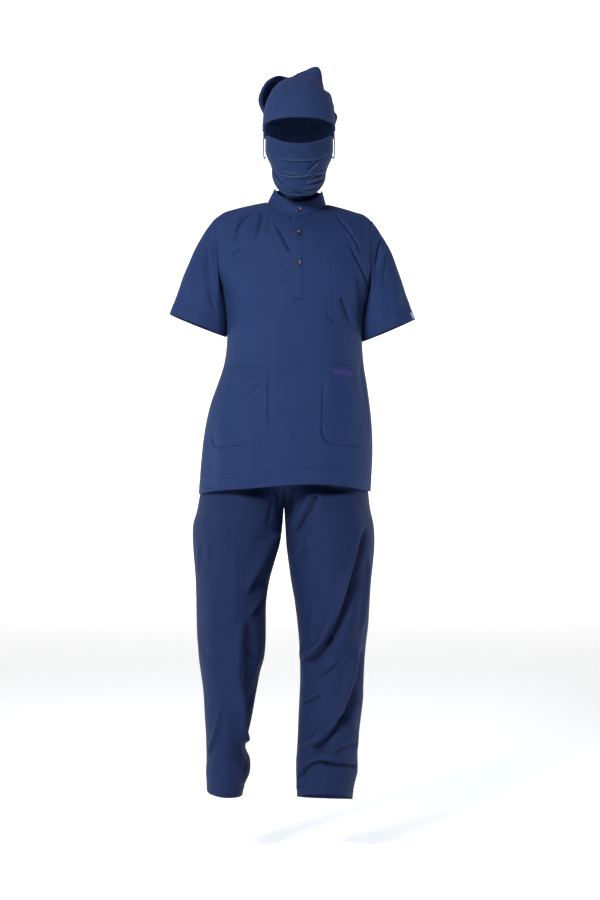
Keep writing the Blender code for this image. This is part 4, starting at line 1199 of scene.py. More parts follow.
@dataclass
class TunicBody:
    """Front and back panels.

    Attributes:
        hem: Depth of the turned hem.
    """
    hem: float = 0.033

    def top_edge(self, form: TunicForm) -> tuple[Array, Array]:
        """Top edge of a panel: x and z over one shoulder, the neck and the other.

        Args:
            form: The side of the tunic.

        Returns:
            Places across and heights.
        """
        ends = [column(TORSO_ROWS, side, SHOULDER_END) for side in ("left", "right")]
        turns = np.linspace(-pi / 2, pi / 2, form.neck_steps + 1)
        neck = form.neckline(turns if form is FRONT else pi - turns)
        fade = 1 - np.cos(np.linspace(0, pi / 2, form.shoulder_steps + 1))
        left_x = ends[0] + (neck[0, 0] - ends[0]) * fade
        right_x = ends[1] + (neck[-1, 0] - ends[1]) * fade[::-1]
        left_z, right_z = (column(SHOULDER_LINE, "height", x, key="across") for x in (left_x, right_x))
        x = np.concatenate([left_x[:-1], neck[:, 0], right_x[1:]])
        return x, np.concatenate([left_z[:-1], neck[:, 2], right_z[1:]])

    def hem_height(self, form: TunicForm, x: Array) -> Array:
        """Height of the hem at x.

        Args:
            form: The side of the tunic.
            x: Places across.

        Returns:
            Heights.
        """
        if form is FRONT:
            return column(TUNIC_HEM, "height", x, key="across")
        ends = TUNIC_HEM[0], TUNIC_HEM[-1]
        return np.interp(x, [end.across for end in ends], [end.height for end in ends])

    def grid(self, form: TunicForm, smooth: bool = False) -> ClothGrid:
        """Outer face of a panel.

        Args:
            form: The side of the tunic.
            smooth: Leaves out creases, hem and seams.

        Returns:
            The grid from the hem to the shoulders and neck.
        """
        top_x, top_z = self.top_edge(form)
        centre, half = section(TORSO_ROWS, top_z)
        u = (top_x - centre) / half
        u[0], u[-1] = -1.0, 1.0
        ends = TORSO_ROWS[0].left, TORSO_ROWS[0].right
        hem = self.hem_height(form, sum(ends) / 2 + (ends[1] - ends[0]) / 2 * u)
        long = UNDERARM - hem.mean()
        lower = shares(form.lower_rows, (0.0015 / long, self.hem / long), 0.0011 / long)
        upper = shares(form.upper_rows, (0.985,), 0.006)[1:]
        z = np.concatenate([hem + (UNDERARM - hem) * lower[:, None],
                            UNDERARM + (top_z - UNDERARM) * upper[:, None]])
        centre, half = section(TORSO_ROWS, z)
        x = centre + half * u
        if smooth:
            return ClothGrid(xyz(x, form.depth(x, z), z), seat=Seat(-form.facing))
        beside = (1 - np.abs(u)) * half
        lift = CLOTH - SEAM_DIP * bump(beside / 0.0020) * ease((-z - 0.03) / 0.03)
        lift = lift + hem_relief(z - hem, x, self.hem, form.facing)
        points, _ = form.place(x, z, lift)
        keep_own_side(points, form.facing)
        return ClothGrid(points, seat=Seat(-form.facing))

    def build(self, stitches: StitchBook) -> None:
        """Makes both panels with their hem and seam stitching.

        Args:
            stitches: Where its stitches go.
        """
        for form in (FRONT, BACK):
            outer = self.grid(form)
            place_cloth(f"tunic_{form.facing.word}", outer, NAVY,
                        self.grid(form, smooth=True))
            self.stitch(outer, form, stitches)

    def stitch(self, outer: ClothGrid, form: TunicForm, stitches: StitchBook) -> None:
        """Hem stitching of a panel, and shoulder seam stitching on the back.

        Args:
            outer: The panel's outer face.
            form: The side of the tunic.
            stitches: Where its stitches go.
        """
        _, up = outer.lengths()
        stitches.along(outer, np.s_[nearest(up[:, up.shape[1] // 2], self.hem), 1:-1])
        if form is BACK:
            steps = form.shoulder_steps
            stitches.along(outer, np.s_[-4, :steps], np.s_[-4, -steps - 1:-1])


@dataclass
class TunicSleeve:
    """A short set-in sleeve.

    Attributes:
        name: Its node's name.
        cut: Where its hem ring lies.
        front: Creases on its front.
        back: Creases on its back.
        ripple: Its slack.
        under_way: Way that it leaves the underarm, out and up.
        seam: Depth of the armhole seam.
        round_steps: Columns round it.
        rows: Rows down it.
        hem: Depth of the turned hem.
        long: Its length.
        seam_share: Share of its length over which it dips into the seam.
        top_way: Way that it leaves the shoulder, out and up.
        forward: How far its front and back swell as they leave the armhole.
        seat_clearance: Gap beside the body at the underarm.
    """
    name: str
    cut: SleeveCut
    front: tuple[Crease, ...]
    back: tuple[Crease, ...]
    ripple: Ripple
    under_way: tuple[float, float]
    seam: float
    round_steps: int = 130
    rows: int = 70
    hem: float = 0.026
    long: float = 0.20
    seam_share: float = 0.012
    top_way: tuple[float, float] = (0.66, -0.75)
    forward: float = 0.22
    seat_clearance: float = 0.0040

    def armhole(self, turns: Array) -> Array:
        """Armhole edge: turn 0 at the shoulder, a quarter at the front, a half at the underarm.

        Args:
            turns: Turns.

        Returns:
            Points.
        """
        name = "left" if self.cut.side is Side.RIGHT else "right"   # of the table, seen from the front
        end = column(TORSO_ROWS, name, SHOULDER_END)
        top = float(column(SHOULDER_LINE, "height", end, key="across"))
        z = UNDERARM + (top - UNDERARM) * (1 + np.cos(turns)) / 2
        x = column(TORSO_ROWS, name, z)
        y = np.where(np.sin(turns) >= 0, FRONT.depth(x, z), BACK.depth(x, z))
        return xyz(x, y, z)

    def ring(self, turns: Array, f: float) -> Array:
        """Points of the smooth sleeve at a share of the way down it.

        Args:
            turns: Turns, as at the armhole.
            f: The share.

        Returns:
            Points.
        """
        cut, side = self.cut, self.cut.side
        edge = self.armhole(turns)
        outer = np.array([cut.outer_x, 0.0, cut.outer_z])
        inner = np.array([cut.inner_x, 0.0, cut.inner_z])
        across = (outer - inner) / 2
        hem = ((outer + inner) / 2 + across * np.cos(turns)[:, None]
               + np.array([0.0, -cut.half_depth, 0.0]) * np.sin(turns)[:, None])
        under = ((1 - np.cos(turns)) / 2)[:, None]
        start = ((1 - under) * np.array([side * self.top_way[0], 0.0, self.top_way[1]])
                 + under * np.array([side * self.under_way[0], 0.0, self.under_way[1]])
                 - np.array([0.0, self.forward, 0.0]) * np.sin(turns)[:, None])
        start = unit(start)
        end = np.array([across[2] * side, 0.0, -across[0] * side])
        end /= np.linalg.norm(end) * -np.sign(end[2])
        length = np.linalg.norm(hem - edge, axis=1, keepdims=True)
        low = ease(((1 - np.cos(turns)) / 2 - 0.35) / 0.55)[:, None]
        edge = (edge + (1 - low) * start * 0.0004
                + low * np.array([side, 0.0, 0.0]) * self.seat_clearance)
        return ((2 * f**3 - 3 * f**2 + 1) * edge + (f**3 - 2 * f**2 + f) * length * start
                + (3 * f**2 - 2 * f**3) * hem + (f**3 - f**2) * length * end)

    def grid(self) -> tuple[ClothGrid, ClothGrid, int]:
        """Outer face, smooth surface and the row of the hem's stitching.

        Returns:
            The three.
        """
        turns = np.linspace(0, tau, self.round_steps, endpoint=False)
        sewn = 1 - self.hem / self.long
        travel = shares(self.rows, (self.seam_share, sewn, 1 - HEM_ROLL / self.long), HEM_ROWS / self.long)
        smooth = ClothGrid(np.array([self.ring(turns, f) for f in travel]), True, Seat(self.cut.side))
        points = smooth.points
        facing = np.sin(turns)[None, :]
        x, z = points[..., 0], points[..., 2]
        relief = (crease_relief(self.front, x, z) * ease(facing / 0.35)
                  + crease_relief(self.back, x, z) * ease(-facing / 0.35))
        across, up = smooth.lengths()
        relief += self.ripple.relief(across, up) * ease(travel / 0.15)[:, None]
        from_hem = up[-1] - up
        relief += hem_relief(from_hem, across, self.hem, self.cut.side)
        down, seam = travel[:, None], self.seam_share
        relief += 0.5 * self.seam * bump((down - 0.02) / 0.018) * (down > seam)
        relief -= self.seam * ease((seam - down) / seam)
        return smooth.moved(CLOTH + relief), smooth, nearest(travel, sewn)

    def build(self, stitches: StitchBook) -> None:
        """Makes the sleeve with its hem stitching.

        Args:
            stitches: Where its stitches go.
        """
        outer, smooth, row = self.grid()
        place_cloth(self.name, outer, NAVY, smooth)
        stitches.along(outer, (row, np.append(np.arange(self.round_steps), 0)))


@dataclass
class Collar:
    """The stand collar, which laps over itself in front.

    Attributes:
        height: Height of the band.
        top_centre: Middle of the top edge across.
        top_half_width: Half its width there.
        top_front: How far the top edge reaches forward.
        top_back: And back.
        wall: Its wall.
        inset: How far it stands inside the neck hole.
        start: Turn at which the lapping end starts.
        end: Turn at which the lapped end stops.
        tuck: Turn from which it moves in under the other end.
        tucked: Turn at which it has.
        lines: Shares of its height with a stitch line.
    """
    height: float = 0.0315
    top_centre: float = -0.0015
    top_half_width: float = 0.0535
    top_front: float = 0.0555
    top_back: float = 0.0440
    wall: float = 0.0018
    inset: float = 0.0012
    start: float = radians(-11)
    end: float = radians(368)
    tuck: float = radians(300)
    tucked: float = radians(343)
    lines: tuple[float, float] = (0.07, 0.93)

    def points(self, turn: Array, rise: Array | float, out: Array | float = 0.0) -> Array:
        """Outer face at each turn, at a share of the height and moved out.

        Args:
            turn: Turns from the front middle.
            rise: Share of the height.
            out: How far out.

        Returns:
            Points.
        """
        front = np.cos(turn) > 0
        base = np.where(front[..., None], FRONT.neckline(turn), BACK.neckline(turn))
        tucked = ease((turn - self.tuck) / (self.tucked - self.tuck))
        inset = self.inset + (self.wall + 2 * HALF_SEAM) * tucked - out
        base = base + xyz(-np.sin(turn), np.cos(turn), 0 * turn) * inset[..., None]
        top = xyz(self.top_centre + (self.top_half_width - inset) * np.sin(turn),
                  -np.cos(turn) * (np.where(front, self.top_front, self.top_back) - inset),
                  base[..., 2] + self.height)
        return base + (top - base) * rise

    def levels(self) -> Array:
        """Heights of its rows as shares: the seam's allowance, the band and its two stitch lines."""
        return np.concatenate([[-0.08], shares(16, self.lines, 0.028)])

    def grid(self, columns: int = 260) -> ClothGrid:
        """Outer face of the band from its seam to its top edge.

        Args:
            columns: Steps round it.

        Returns:
            The grid.
        """
        turns = np.linspace(self.start, self.end, columns + 1)
        rows = []
        for level in self.levels():
            groove = sum(bump((level - mark) / 0.03) for mark in self.lines[::-1])
            soft = 0.0006 * np.sin(turns * 5 + 1.0) * level
            ends = bump((turns - self.start) / 0.03) + bump((turns - self.end) / 0.03)
            roll = 0.0007 * ease((level - 0.97) / 0.03) + 0.0005 * ends
            rows.append(self.points(turns, np.full_like(turns, level)[:, None],
                                    soft - 0.00045 * groove - roll))
        return ClothGrid(np.array(rows))

    def build(self, stitches: StitchBook) -> None:
        """Makes the band with its stitching.

        Args:
            stitches: Where its stitches go.
        """
        outer = self.grid()
        place_cloth("collar", outer, NAVY, outer,
                    self.wall)
        rows = [nearest(self.levels(), mark) for mark in self.lines]
        stitches.along(outer, *(np.s_[row, 2:-30] for row in rows), np.s_[2:-2, 2])


@dataclass(frozen=True)
class PatchOutline:
    """Four sides of a patch in the front view, each a tuple of corners.

    Attributes:
        bottom: Its lower side, from left to right.
        top: Its upper side, from left to right.
        left: Its left side, from the bottom up.
        right: Its right side, from the bottom up.
    """
    bottom: tuple[HeightPoint, ...]
    top: tuple[HeightPoint, ...]
    left: tuple[HeightPoint, ...]
    right: tuple[HeightPoint, ...]

    @staticmethod
    def _along(side: tuple[HeightPoint, ...], at: Array) -> Array:
        """Points along one side by shares of its length.

        Args:
            side: The side.
            at: The shares.

        Returns:
            Places across and heights.
        """
        corners = np.array(side)
        far = passed(corners)
        return np.stack([np.interp(at, far / far[-1], corners[:, axis]) for axis in range(2)], axis=-1)

    def sheet(self, s: Array, t: Array) -> tuple[Array, Array]:
        """x and z of a grid over the outline, s from left to right and t from the bottom up.

        Args:
            s: Shares across.
            t: Shares up.

        Returns:
            Places across and heights.
        """
        bottom, top = self._along(self.bottom, s), self._along(self.top, s)
        left, right = self._along(self.left, t), self._along(self.right, t)
        tt, ss = t[:, None, None], s[None, :, None]
        flat = ((1 - tt) * bottom[None] + tt * top[None] + (1 - ss) * left[:, None]
                + ss * right[:, None]
                - ((1 - ss) * (1 - tt) * bottom[0] + ss * (1 - tt) * bottom[-1]
                   + (1 - ss) * tt * top[0] + ss * tt * top[-1]))
        return flat[..., 0], flat[..., 1]

    def size(self) -> tuple[float, float]:
        """Mean length of its level sides and of its upright ones.

        Returns:
            Width and height in metres.
        """
        low, high, left, right = (float(passed(np.array(side))[-1])
                                  for side in (self.bottom, self.top, self.left, self.right))
        return (low + high) / 2, (left + right) / 2


@dataclass
class Patch:
    """A flat piece sewn on the tunic's front.

    Attributes:
        name: Its node's name.
        outline: Its outline.
        base: Height of its back above the panel's section.
        wall: Its wall.
        gape: How far its top edge stands off.
        mouth: How far down that slack reaches.
        margin: Distance of its stitching from its edge.
        pitch: Size of its mesh.
        finish: Its finish.
        slot: The record's material slot; not used.
        creases: Creases of its own.
        hem: Distance of the mouth's hem stitching from its top edge.
        under: The patch that it lies on.
        rounding: Radius of its edge.
    """
    name: str
    outline: PatchOutline
    base: float = 0.0017
    wall: float = 0.0013
    gape: float = 0.0
    mouth: float = 0.060
    margin: float = 0.0022
    pitch: float = 0.0030
    finish: ClothFinish = NAVY
    slot: str = "tunic_cloth"
    creases: tuple[Crease, ...] = ()
    hem: float = 0.0
    under: "Patch | None" = None
    rounding: float = 0.0010

    def lift(self, x: Array, z: Array) -> Array:
        """How far the cloth stands off at x, z, with the open mouth of a pocket.

        Args:
            x: Places across.
            z: Heights.

        Returns:
            Distance in metres.
        """
        if self.under:
            return self.under.lift(x, z)
        left, right = self.outline.top[0], self.outline.top[-1]
        slack = ease((z - max(left.height, right.height)) / self.mouth + 1)
        share = np.clip((x - left.across) / (right.across - left.across), 0, 1)
        return self.gape * slack * np.sin(pi * share)

    def level(self, x: Array, z: Array) -> Array:
        """Height of its outer face above the panel's section at x, z."""
        return self.base + self.wall + 0.0007 + self.lift(x, z)

    def grids(self) -> tuple[ClothGrid, ClothGrid, Array, Array]:
        """Outer and inner faces, and the shares of their columns and rows.

        Returns:
            The four.
        """
        width, height = self.outline.size()
        edge = np.array([0.0, 0.0003, 0.0008, 0.0015, self.margin - 0.0004, self.margin,
                         self.margin + 0.0004, self.margin + 0.0012])
        s = self._marks(edge, width)
        t = self._marks(edge, height)
        x, z = self.outline.sheet(s, t)
        from_side = np.minimum(s, 1 - s)[None, :] * width
        from_top = (1 - t)[:, None] * height
        from_end = np.minimum(t, 1 - t)[:, None] * height
        near = np.minimum(from_side, from_end)
        sewn = np.minimum(from_side, t[:, None] * height) if self.gape else near
        own = crease_relief(self.creases, x, z) * ease(sewn / 0.012)
        swell = 0.0003 * ease((sewn - self.margin) / 0.006)
        outside = (1 - near / self.rounding) ** 2 * (near < self.rounding)
        round_edge = np.sqrt(np.clip(1 - outside, 0, 1))
        groove = 0.0003 * bump((sewn - self.margin) / 0.0007)
        pucker = 0.00018 * np.sin(tau * (x + z) / 0.011) * bump((sewn - 0.004) / 0.004)
        if self.hem:
            groove = groove + 0.0003 * bump((from_top - self.hem) / 0.0012)
        top = (self.base + self.wall * (0.25 + 0.75 * round_edge) + swell - groove + pucker
               + self.lift(x, z) + own)
        outer, _ = FRONT.place(x, z, top)
        inner, _ = FRONT.place(x, z, np.minimum(top - self.wall * 0.2, top - self.wall * round_edge))
        return ClothGrid(outer), ClothGrid(inner), s, t

    def _marks(self, edge: Array, size: float) -> Array:
        """Shares across the patch, close at both edges.

        Args:
            edge: Distances of the close ones from the edge.
            size: The patch's size.

        Returns:
            The rising shares.
        """
        inside = np.arange(edge[-1] + self.pitch, size - edge[-1] - self.pitch / 2, self.pitch)
        at = np.concatenate([edge, inside, size - edge[::-1]]) / size
        return np.unique(np.round(at, 6))

    def build(self, stitches: StitchBook, sides: str = "lrb") -> None:
        """Makes the patch with its stitching.

        Args:
            stitches: Where its stitches go.
            sides: Initials of the stitched lines: left, right, bottom and the mouth's hem.
        """
        outer, inner, s, t = self.grids()
        place_cloth(self.name, outer, self.finish, outer,
                    inner=inner)
        width, height = self.outline.size()
        c = nearest(s, self.margin / width)
        r = nearest(t, self.margin / height)
        h = nearest((1 - t) * height, self.hem)
        tracks = {"l": np.s_[r:, c], "r": np.s_[r:, -1 - c], "b": np.s_[r, c:-c], "h": np.s_[h, c:-c]}
        stitches.along(outer, *(tracks[side] for side in sides))


@dataclass
class ButtonSet:
    """The three four-hole buttons with their thread.

    Attributes:
        radius: A button's radius.
        thickness: Its thickness.
        rim: Width of its rim.
        dish: Depth of its dish.
        hole: Radius of a thread hole.
        reach: Distance of the holes from the middle.
        steps: Columns round it.
        spots: Places of the two lower ones, across and up.
    """
    radius: float = 0.0062
    thickness: float = 0.0026
    rim: float = 0.0013
    dish: float = 0.0008
    hole: float = 0.00062
    reach: float = 0.00165
    steps: int = 48
    spots: tuple[tuple[float, float], ...] = ((-0.0035, -0.0796), (-0.0015, -0.1431))

    def body(self, name: str) -> bpy.types.Mesh:
        """The turned button with four holes.

        Args:
            name: Its name.

        Returns:
            The mesh, its back at height 0.
        """
        profile = bpy.data.meshes.new(name + "_profile")
        inner = self.radius - self.rim
        low = self.thickness - self.dish
        points = [(0.0, low - 0.0001), (inner * 0.55, low - 0.0001), (inner - 0.0009, low),
                  (inner - 0.0003, low + 0.0004), (inner + 0.0002, self.thickness - 0.00008),
                  (inner + 0.0006, self.thickness), (self.radius - 0.0004, self.thickness - 0.0001),
                  (self.radius - 0.0001, self.thickness - 0.0005), (self.radius, 0.0015),
                  (self.radius - 0.0003, 0.0008), (self.radius - 0.0012, 0.0002), (0.0, 0.0)]
        edges = [(i, i + 1) for i in range(len(points) - 1)]
        profile.from_pydata([(r, 0, h) for r, h in points], edges, [])
        master = placed(name + "_master", profile)
        turn = master.modifiers.new("Turn", "SCREW")
        turn.steps = turn.render_steps = self.steps
        turn.use_merge_vertices = True
        turn.merge_threshold = 0.00001
        cutters = []
        for quarter in range(4):
            bpy.ops.mesh.primitive_cylinder_add(
                vertices=20, radius=self.hole, depth=0.02,
                location=(self.reach * cos(pi / 4 + quarter * pi / 2),
                          self.reach * sin(pi / 4 + quarter * pi / 2), 0))
            cutters.append(bpy.context.object)
            cut = master.modifiers.new(f"Hole {quarter}", "BOOLEAN")
            cut.operation = "DIFFERENCE"
            cut.object = cutters[-1]
        bpy.context.view_layer.update()
        depsgraph = bpy.context.evaluated_depsgraph_get()
        mesh = bpy.data.meshes.new_from_object(master.evaluated_get(depsgraph))
        for thing in [master, *cutters]:
            bpy.data.objects.remove(thing)
        mesh.shade_smooth()
        return mesh

    def build(self, stitches: StitchBook, collar: Collar) -> None:
        """Makes the buttons in place of their solids, with crossed thread, and logs the solids' boxes.

        Args:
            stitches: Where their thread goes.
            collar: The band that carries the top one.
        """
        for number in (1, 2, 3):
            name = f"button_{number}"
            low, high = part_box(name)
            seat = self.seat(number, collar)
            mesh = self.body(name)
            mesh.materials.clear()
            mesh.transform(seat)
            place_piece(name + "_resin", mesh, RESIN, name)
            LOG.info("%s: solid box %s to %s", name, low, high)
            self.thread(seat, stitches)

    def seat(self, number: int, collar: Collar) -> Matrix:
        """Placement of a button, its back on the cloth.

        Args:
            number: Its number from the top.
            collar: The band that carries the top one.

        Returns:
            The placement.
        """
        if number == 1:
            turn = radians(3) + 0.04 * np.array([-1, 0, 1])
            spot = collar.points(turn, np.full(3, 0.42)[:, None])
            above = collar.points(turn, np.full(3, 0.62)[:, None])
            normal = unit(np.cross(spot[2] - spot[0], above[1] - spot[1]))
            return seat_on(spot[1] + normal * 0.0009, normal)
        x, z = self.spots[number - 2]
        spots, _ = FRONT.place(np.array([x, x + 0.004, x]), np.array([z, z, z + 0.004]), 0.0032)
        normal = unit(np.cross(spots[1] - spots[0], spots[2] - spots[0]))
        return seat_on(spots[0] + normal * 0.0006, normal)

    def thread(self, seat: Matrix, stitches: StitchBook) -> None:
        """Two crossed bars of thread through the holes.

        Args:
            seat: The button's placement.
            stitches: Where its stitches go.
        """
        height = self.thickness - self.dish
        out = np.array(seat.to_3x3() @ Vector((0, 0, 1)))
        for angle, lift in ((pi / 4, 0.0003), (3 * pi / 4, 0.0006)):
            way = Vector((cos(angle), sin(angle), 0)) * self.reach
            for shift in (-0.0002, 0.0002):
                side = Vector((-sin(angle), cos(angle), 0)) * shift
                ends = (side - way + Vector((0, 0, height - 0.0002)),
                        side + Vector((0, 0, height + lift)),
                        side + way + Vector((0, 0, height - 0.0002)))
                stitches.lay(np.array([tuple(seat @ end) for end in ends]), out)


def seat_on(point: Array, normal: Array) -> Matrix:
    """Placement with local +Z along a normal."""
    turn = Vector((0, 0, 1)).rotation_difference(Vector(normal)).to_matrix().to_4x4()
    return Matrix.Translation(Vector(point)) @ turn


SLEEVES = {
    "sleeve_right": (
        SleeveCut(Side.RIGHT, -0.2831, -0.2460, -0.1600, -0.2948, 0.058),
        crease_table(
            (-205, -80, -198, -178, -174, -258, 5, -4.4, 0.3, 0.2, 0.3),
            (-187, -71, -185, -108, -181, -145, 3.5, -2, 0, 0.25),
            (-224, -108, -233, -184, -244, -241, 16, 3.2),
            (-194, -86, -189, -134, -181, -191, 5, 2),
            (-250, -174, -255, -213, -259, -243, 11, -2.2, 0, 0.35, 0.2),
        ),
        crease_table(
            (-206, -90, -204, -150, -190, -214, 11, -4.2, 0.3, 0.15, 0.4),
            (-232, -130, -234, -190, -230, -250, 15, 3.6, 0, 0.3, 0.3),
            (-184, -170, -190, -200, -206, -226, 9, -3.4, 0, 0.2, 0.5),
        ),
        Ripple(5, 0.0008, 0.035, 0.09, 2.0), (-0.40, -0.92), 0.0007),
    "sleeve_left": (
        SleeveCut(Side.LEFT, 0.2543, -0.2565, 0.1398, -0.3047, 0.057),
        crease_table(
            (178, -76, 173, -110, 165, -152, 5, -5.6, -0.3, 0.2, 0.35),
            (189, -104, 187, -143, 181, -193, 4.2, -2.4, 0, 0.25, 0.45),
            (157, -84, 165, -69, 178, -56, 3.5, -1.8),
            (181, -86, 178, -121, 170, -165, 6, 2.4),
            (202, -130, 209, -195, 218, -252, 15, 3.2, 0, 0.3, 0.3),
            (224, -195, 228, -228, 228, -256, 11, -2.2, 0, 0.35, 0.2),
        ),
        crease_table(
            (178, -86, 178, -146, 166, -204, 11, -4.2, -0.3, 0.15, 0.4),
            (206, -130, 210, -190, 206, -256, 15, 3.6, 0, 0.3, 0.3),
            (158, -176, 166, -204, 182, -230, 9, -3.4, 0, 0.2, 0.5),
        ),
        Ripple(6, 0.0008, 0.035, 0.09, 2.0), (-0.36, -0.93), 0.0020),
}

CHEST_POCKET = PatchOutline(
    bottom=front_line((80, -275.5), (112, -276.5), (126, -284)),
    top=front_line((55.5, -139.5), (129, -139.5)),
    left=front_line((80, -275.5), (69, -265), (57.5, -252), (56.5, -205), (55.5, -139.5)),
    right=front_line((126, -284), (127.5, -250), (129, -139.5)))
HIP_POCKET_RIGHT = PatchOutline(
    bottom=front_line((-188, -539), (-150, -537), (-86, -535)),
    top=front_line((-160, -368), (-64, -367)),
    left=front_line((-188, -539), (-188, -485), (-180, -440), (-168, -402), (-160, -368)),
    right=front_line((-86, -535), (-69, -511), (-64, -488), (-64, -367)))
HIP_POCKET_LEFT = PatchOutline(
    bottom=front_line((70, -530), (82, -533), (150, -537)),
    top=front_line((61, -360), (136, -364)),
    left=front_line((70, -530), (54.5, -507), (51.2, -460), (51.4, -415), (55, -380), (61, -360)),
    right=front_line((150, -537), (151, -490), (149, -450), (142, -400), (136, -364)))
LABEL = PatchOutline(
    bottom=front_line((71.1, -380.9), (113.6, -385.7)),
    top=front_line((69.7, -368), (112.2, -372.8)),
    left=front_line((71.1, -380.9), (69.7, -368)),
    right=front_line((113.6, -385.7), (112.2, -372.8)))


@dataclass
class FrontPatches:
    """Placket, pockets and the two woven tags.

    Attributes:
        tag_turns: Turns of the sleeve tag's sides.
        tag_travel: Shares of the way down the sleeve to its ends.
        pen_slot: Places across of the pen slot's stitch lines, in millimetres.
    """
    tag_turns: tuple[float, float] = (0.33, 0.50)
    tag_travel: tuple[float, float] = (0.930, 0.990)
    pen_slot: tuple[float, ...] = (60, 66.5)

    def placket(self) -> PatchOutline:
        """Outline of the placket, closed at the top by the neck's edge.

        Returns:
            The outline.
        """
        turns = np.arcsin((np.linspace(-0.0178, 0.0070, 9) - NECK_CENTRE) / NECK_HALF_WIDTH)
        edge = FRONT.neckline(turns)
        top = tuple(HeightPoint(float(x), float(z)) for x, _, z in edge)
        return PatchOutline(
            bottom=front_line((-15.5, -218.5), (10.5, -218.5)),
            top=top,
            left=(*front_line((-15.5, -218.5), (-17, -90)), top[0]),
            right=(*front_line((10.5, -218.5), (9, -145), (7.5, -50)), top[-1]))

    def build(self, stitches: StitchBook) -> None:
        """Makes the placket, the pockets and the pocket label.

        Args:
            stitches: Where its stitches go.
        """
        placket = Patch("placket", self.placket(), 0.0012, 0.0009)
        placket.build(stitches)
        self.stitch_line(placket, front_line((-13, -208), (8, -208)), stitches)
        chest = Patch("chest_pocket", CHEST_POCKET, 0.0012, 0.0007, 0.0003, hem=0.026)
        chest.build(stitches, "lrbh")
        for x in self.pen_slot:
            self.stitch_line(chest, front_line((x, -141), (x + 0.8, -165.5)), stitches)
        right = Patch("hip_pocket_right", HIP_POCKET_RIGHT, 0.0012, 0.0009, 0.0009, hem=0.022)
        right.build(stitches, "lrbh")
        left = Patch("hip_pocket_left", HIP_POCKET_LEFT, 0.0012, 0.0010, 0.0013, hem=0.022)
        left.build(stitches, "lrbh")
        tag = Patch("pocket_label", LABEL, 0.0032, 0.0008, margin=0.0014, pitch=0.0015,
                    finish=TAPE, slot="woven_label", under=left)
        tag.build(stitches, "lr")

    def stitch_line(self, patch: Patch, path: tuple[HeightPoint, ...],
                    stitches: StitchBook) -> None:
        """Stitches a straight line on a patch.

        Args:
            patch: The patch.
            path: The line's two ends.
            stitches: Where the stitches go.
        """
        ends = np.array(path)
        at = np.linspace(0, 1, 24)[:, None]
        spots = ends[0] * (1 - at) + ends[1] * at
        x, z = spots[:, 0], spots[:, 1]
        points, normals = FRONT.place(x, z, patch.level(x, z) - 0.0001)
        stitches.run(points, normals)

    def sleeve_tag(self, sleeve: TunicSleeve, stitches: StitchBook) -> None:
        """The tag above the left sleeve's hem.

        Args:
            sleeve: The sleeve.
            stitches: Where its stitches go.
        """
        turns = np.linspace(*self.tag_turns, 9)
        travel = np.linspace(*self.tag_travel, 15)
        surface = ClothGrid(np.array([sleeve.ring(turns, f) for f in travel]))
        outer = surface.moved(CLOTH + 0.0019)
        place_cloth("sleeve_label", outer, PALE_TAPE, outer,
                    0.0008)
        stitches.along(outer, 1, -2)


# ---- trousers ----------------------------------------------------------------------------
WAIST_HEIGHT = -0.400
CROTCH_HEIGHT = -0.676
FORK_TOP = -0.585
FORK_SHAPE = 1.35
FORK_CLEAR = 0.010
FORK_REACH = 0.05
SEAT_SEAM = -0.0331
LEG_SQUARENESS = 2.15
PELVIS_SQUARENESS = 2.3
PRESS_TOP = -0.68
PRESS_FADE = 0.12
PRESS_HEIGHT = 0.0025
PRESS_WIDTH = 0.16
PELVIS_ROWS = table(SectionRow,
    (-680, -223.5, 156, 118, 118), (-640, -212.5, 150, 117, 119), (-600, -206, 149, 116, 121),
    (-550, -198, 148, 114, 122), (-500, -189, 145, 111, 119), (-450, -176, 138, 106, 110),
    (-400, -160, 128, 98, 100), (-365, -160, 128, 98, 100),
)
RIGHT_LEG_ROWS = table(LegRow,
    (-1330, -201, -125, 70, 80), (-1300, -201.3, -125.4, 71, 80), (-1275, -201.7, -119.5, 72, 80),
    (-1250, -202.8, -109.3, 73, 81), (-1225, -202, -109.6, 74, 82), (-1200, -202.4, -119, 75, 82),
    (-1170, -203.1, -113.7, 76, 83), (-1130, -205.5, -104.9, 78, 84),
    (-1090, -207.5, -97.9, 80, 85), (-1060, -210.5, -92.4, 82, 86), (-1030, -214.9, -86.5, 84, 87),
    (-1000, -218.9, -78.1, 86, 88), (-970, -221.1, -75, 88, 89), (-930, -223.3, -74.1, 91, 92),
    (-880, -224.4, -73.3, 96, 97), (-830, -225.5, -66, 101, 103), (-790, -228.8, -55, 106, 108),
    (-750, -231.9, -43.3, 111, 113), (-708, -231.5, -37.5, 115, 116), (-672, -222, -35, 117, 118),
    (-580, -222, -35, 117, 118),
)
LEFT_LEG_ROWS = table(LegRow,
    (-1330, 115, -2, 72, 80), (-1300, 117.3, -2.9, 72, 80), (-1275, 121.4, -4.4, 73, 80),
    (-1250, 127.2, -5.3, 74, 81), (-1225, 127.6, -4.8, 75, 82), (-1200, 127.6, -3.1, 76, 82),
    (-1170, 130.2, -1.5, 77, 83), (-1130, 134.9, 0, 79, 84), (-1090, 139.5, 2, 81, 85),
    (-1060, 140.4, 3.5, 83, 86), (-1030, 141.7, 3.7, 85, 87), (-1000, 143.4, 3.1, 87, 88),
    (-970, 145.9, 1.8, 89, 89), (-930, 150.7, -1.5, 92, 92), (-880, 154, -7.7, 96, 97),
    (-830, 157.5, -16.5, 101, 103), (-790, 161.7, -22, 106, 108), (-750, 164.8, -26.8, 111, 113),
    (-708, 162.8, -29.2, 115, 116), (-672, 155, -31.2, 117, 118), (-580, 155, -31.2, 117, 118),
)
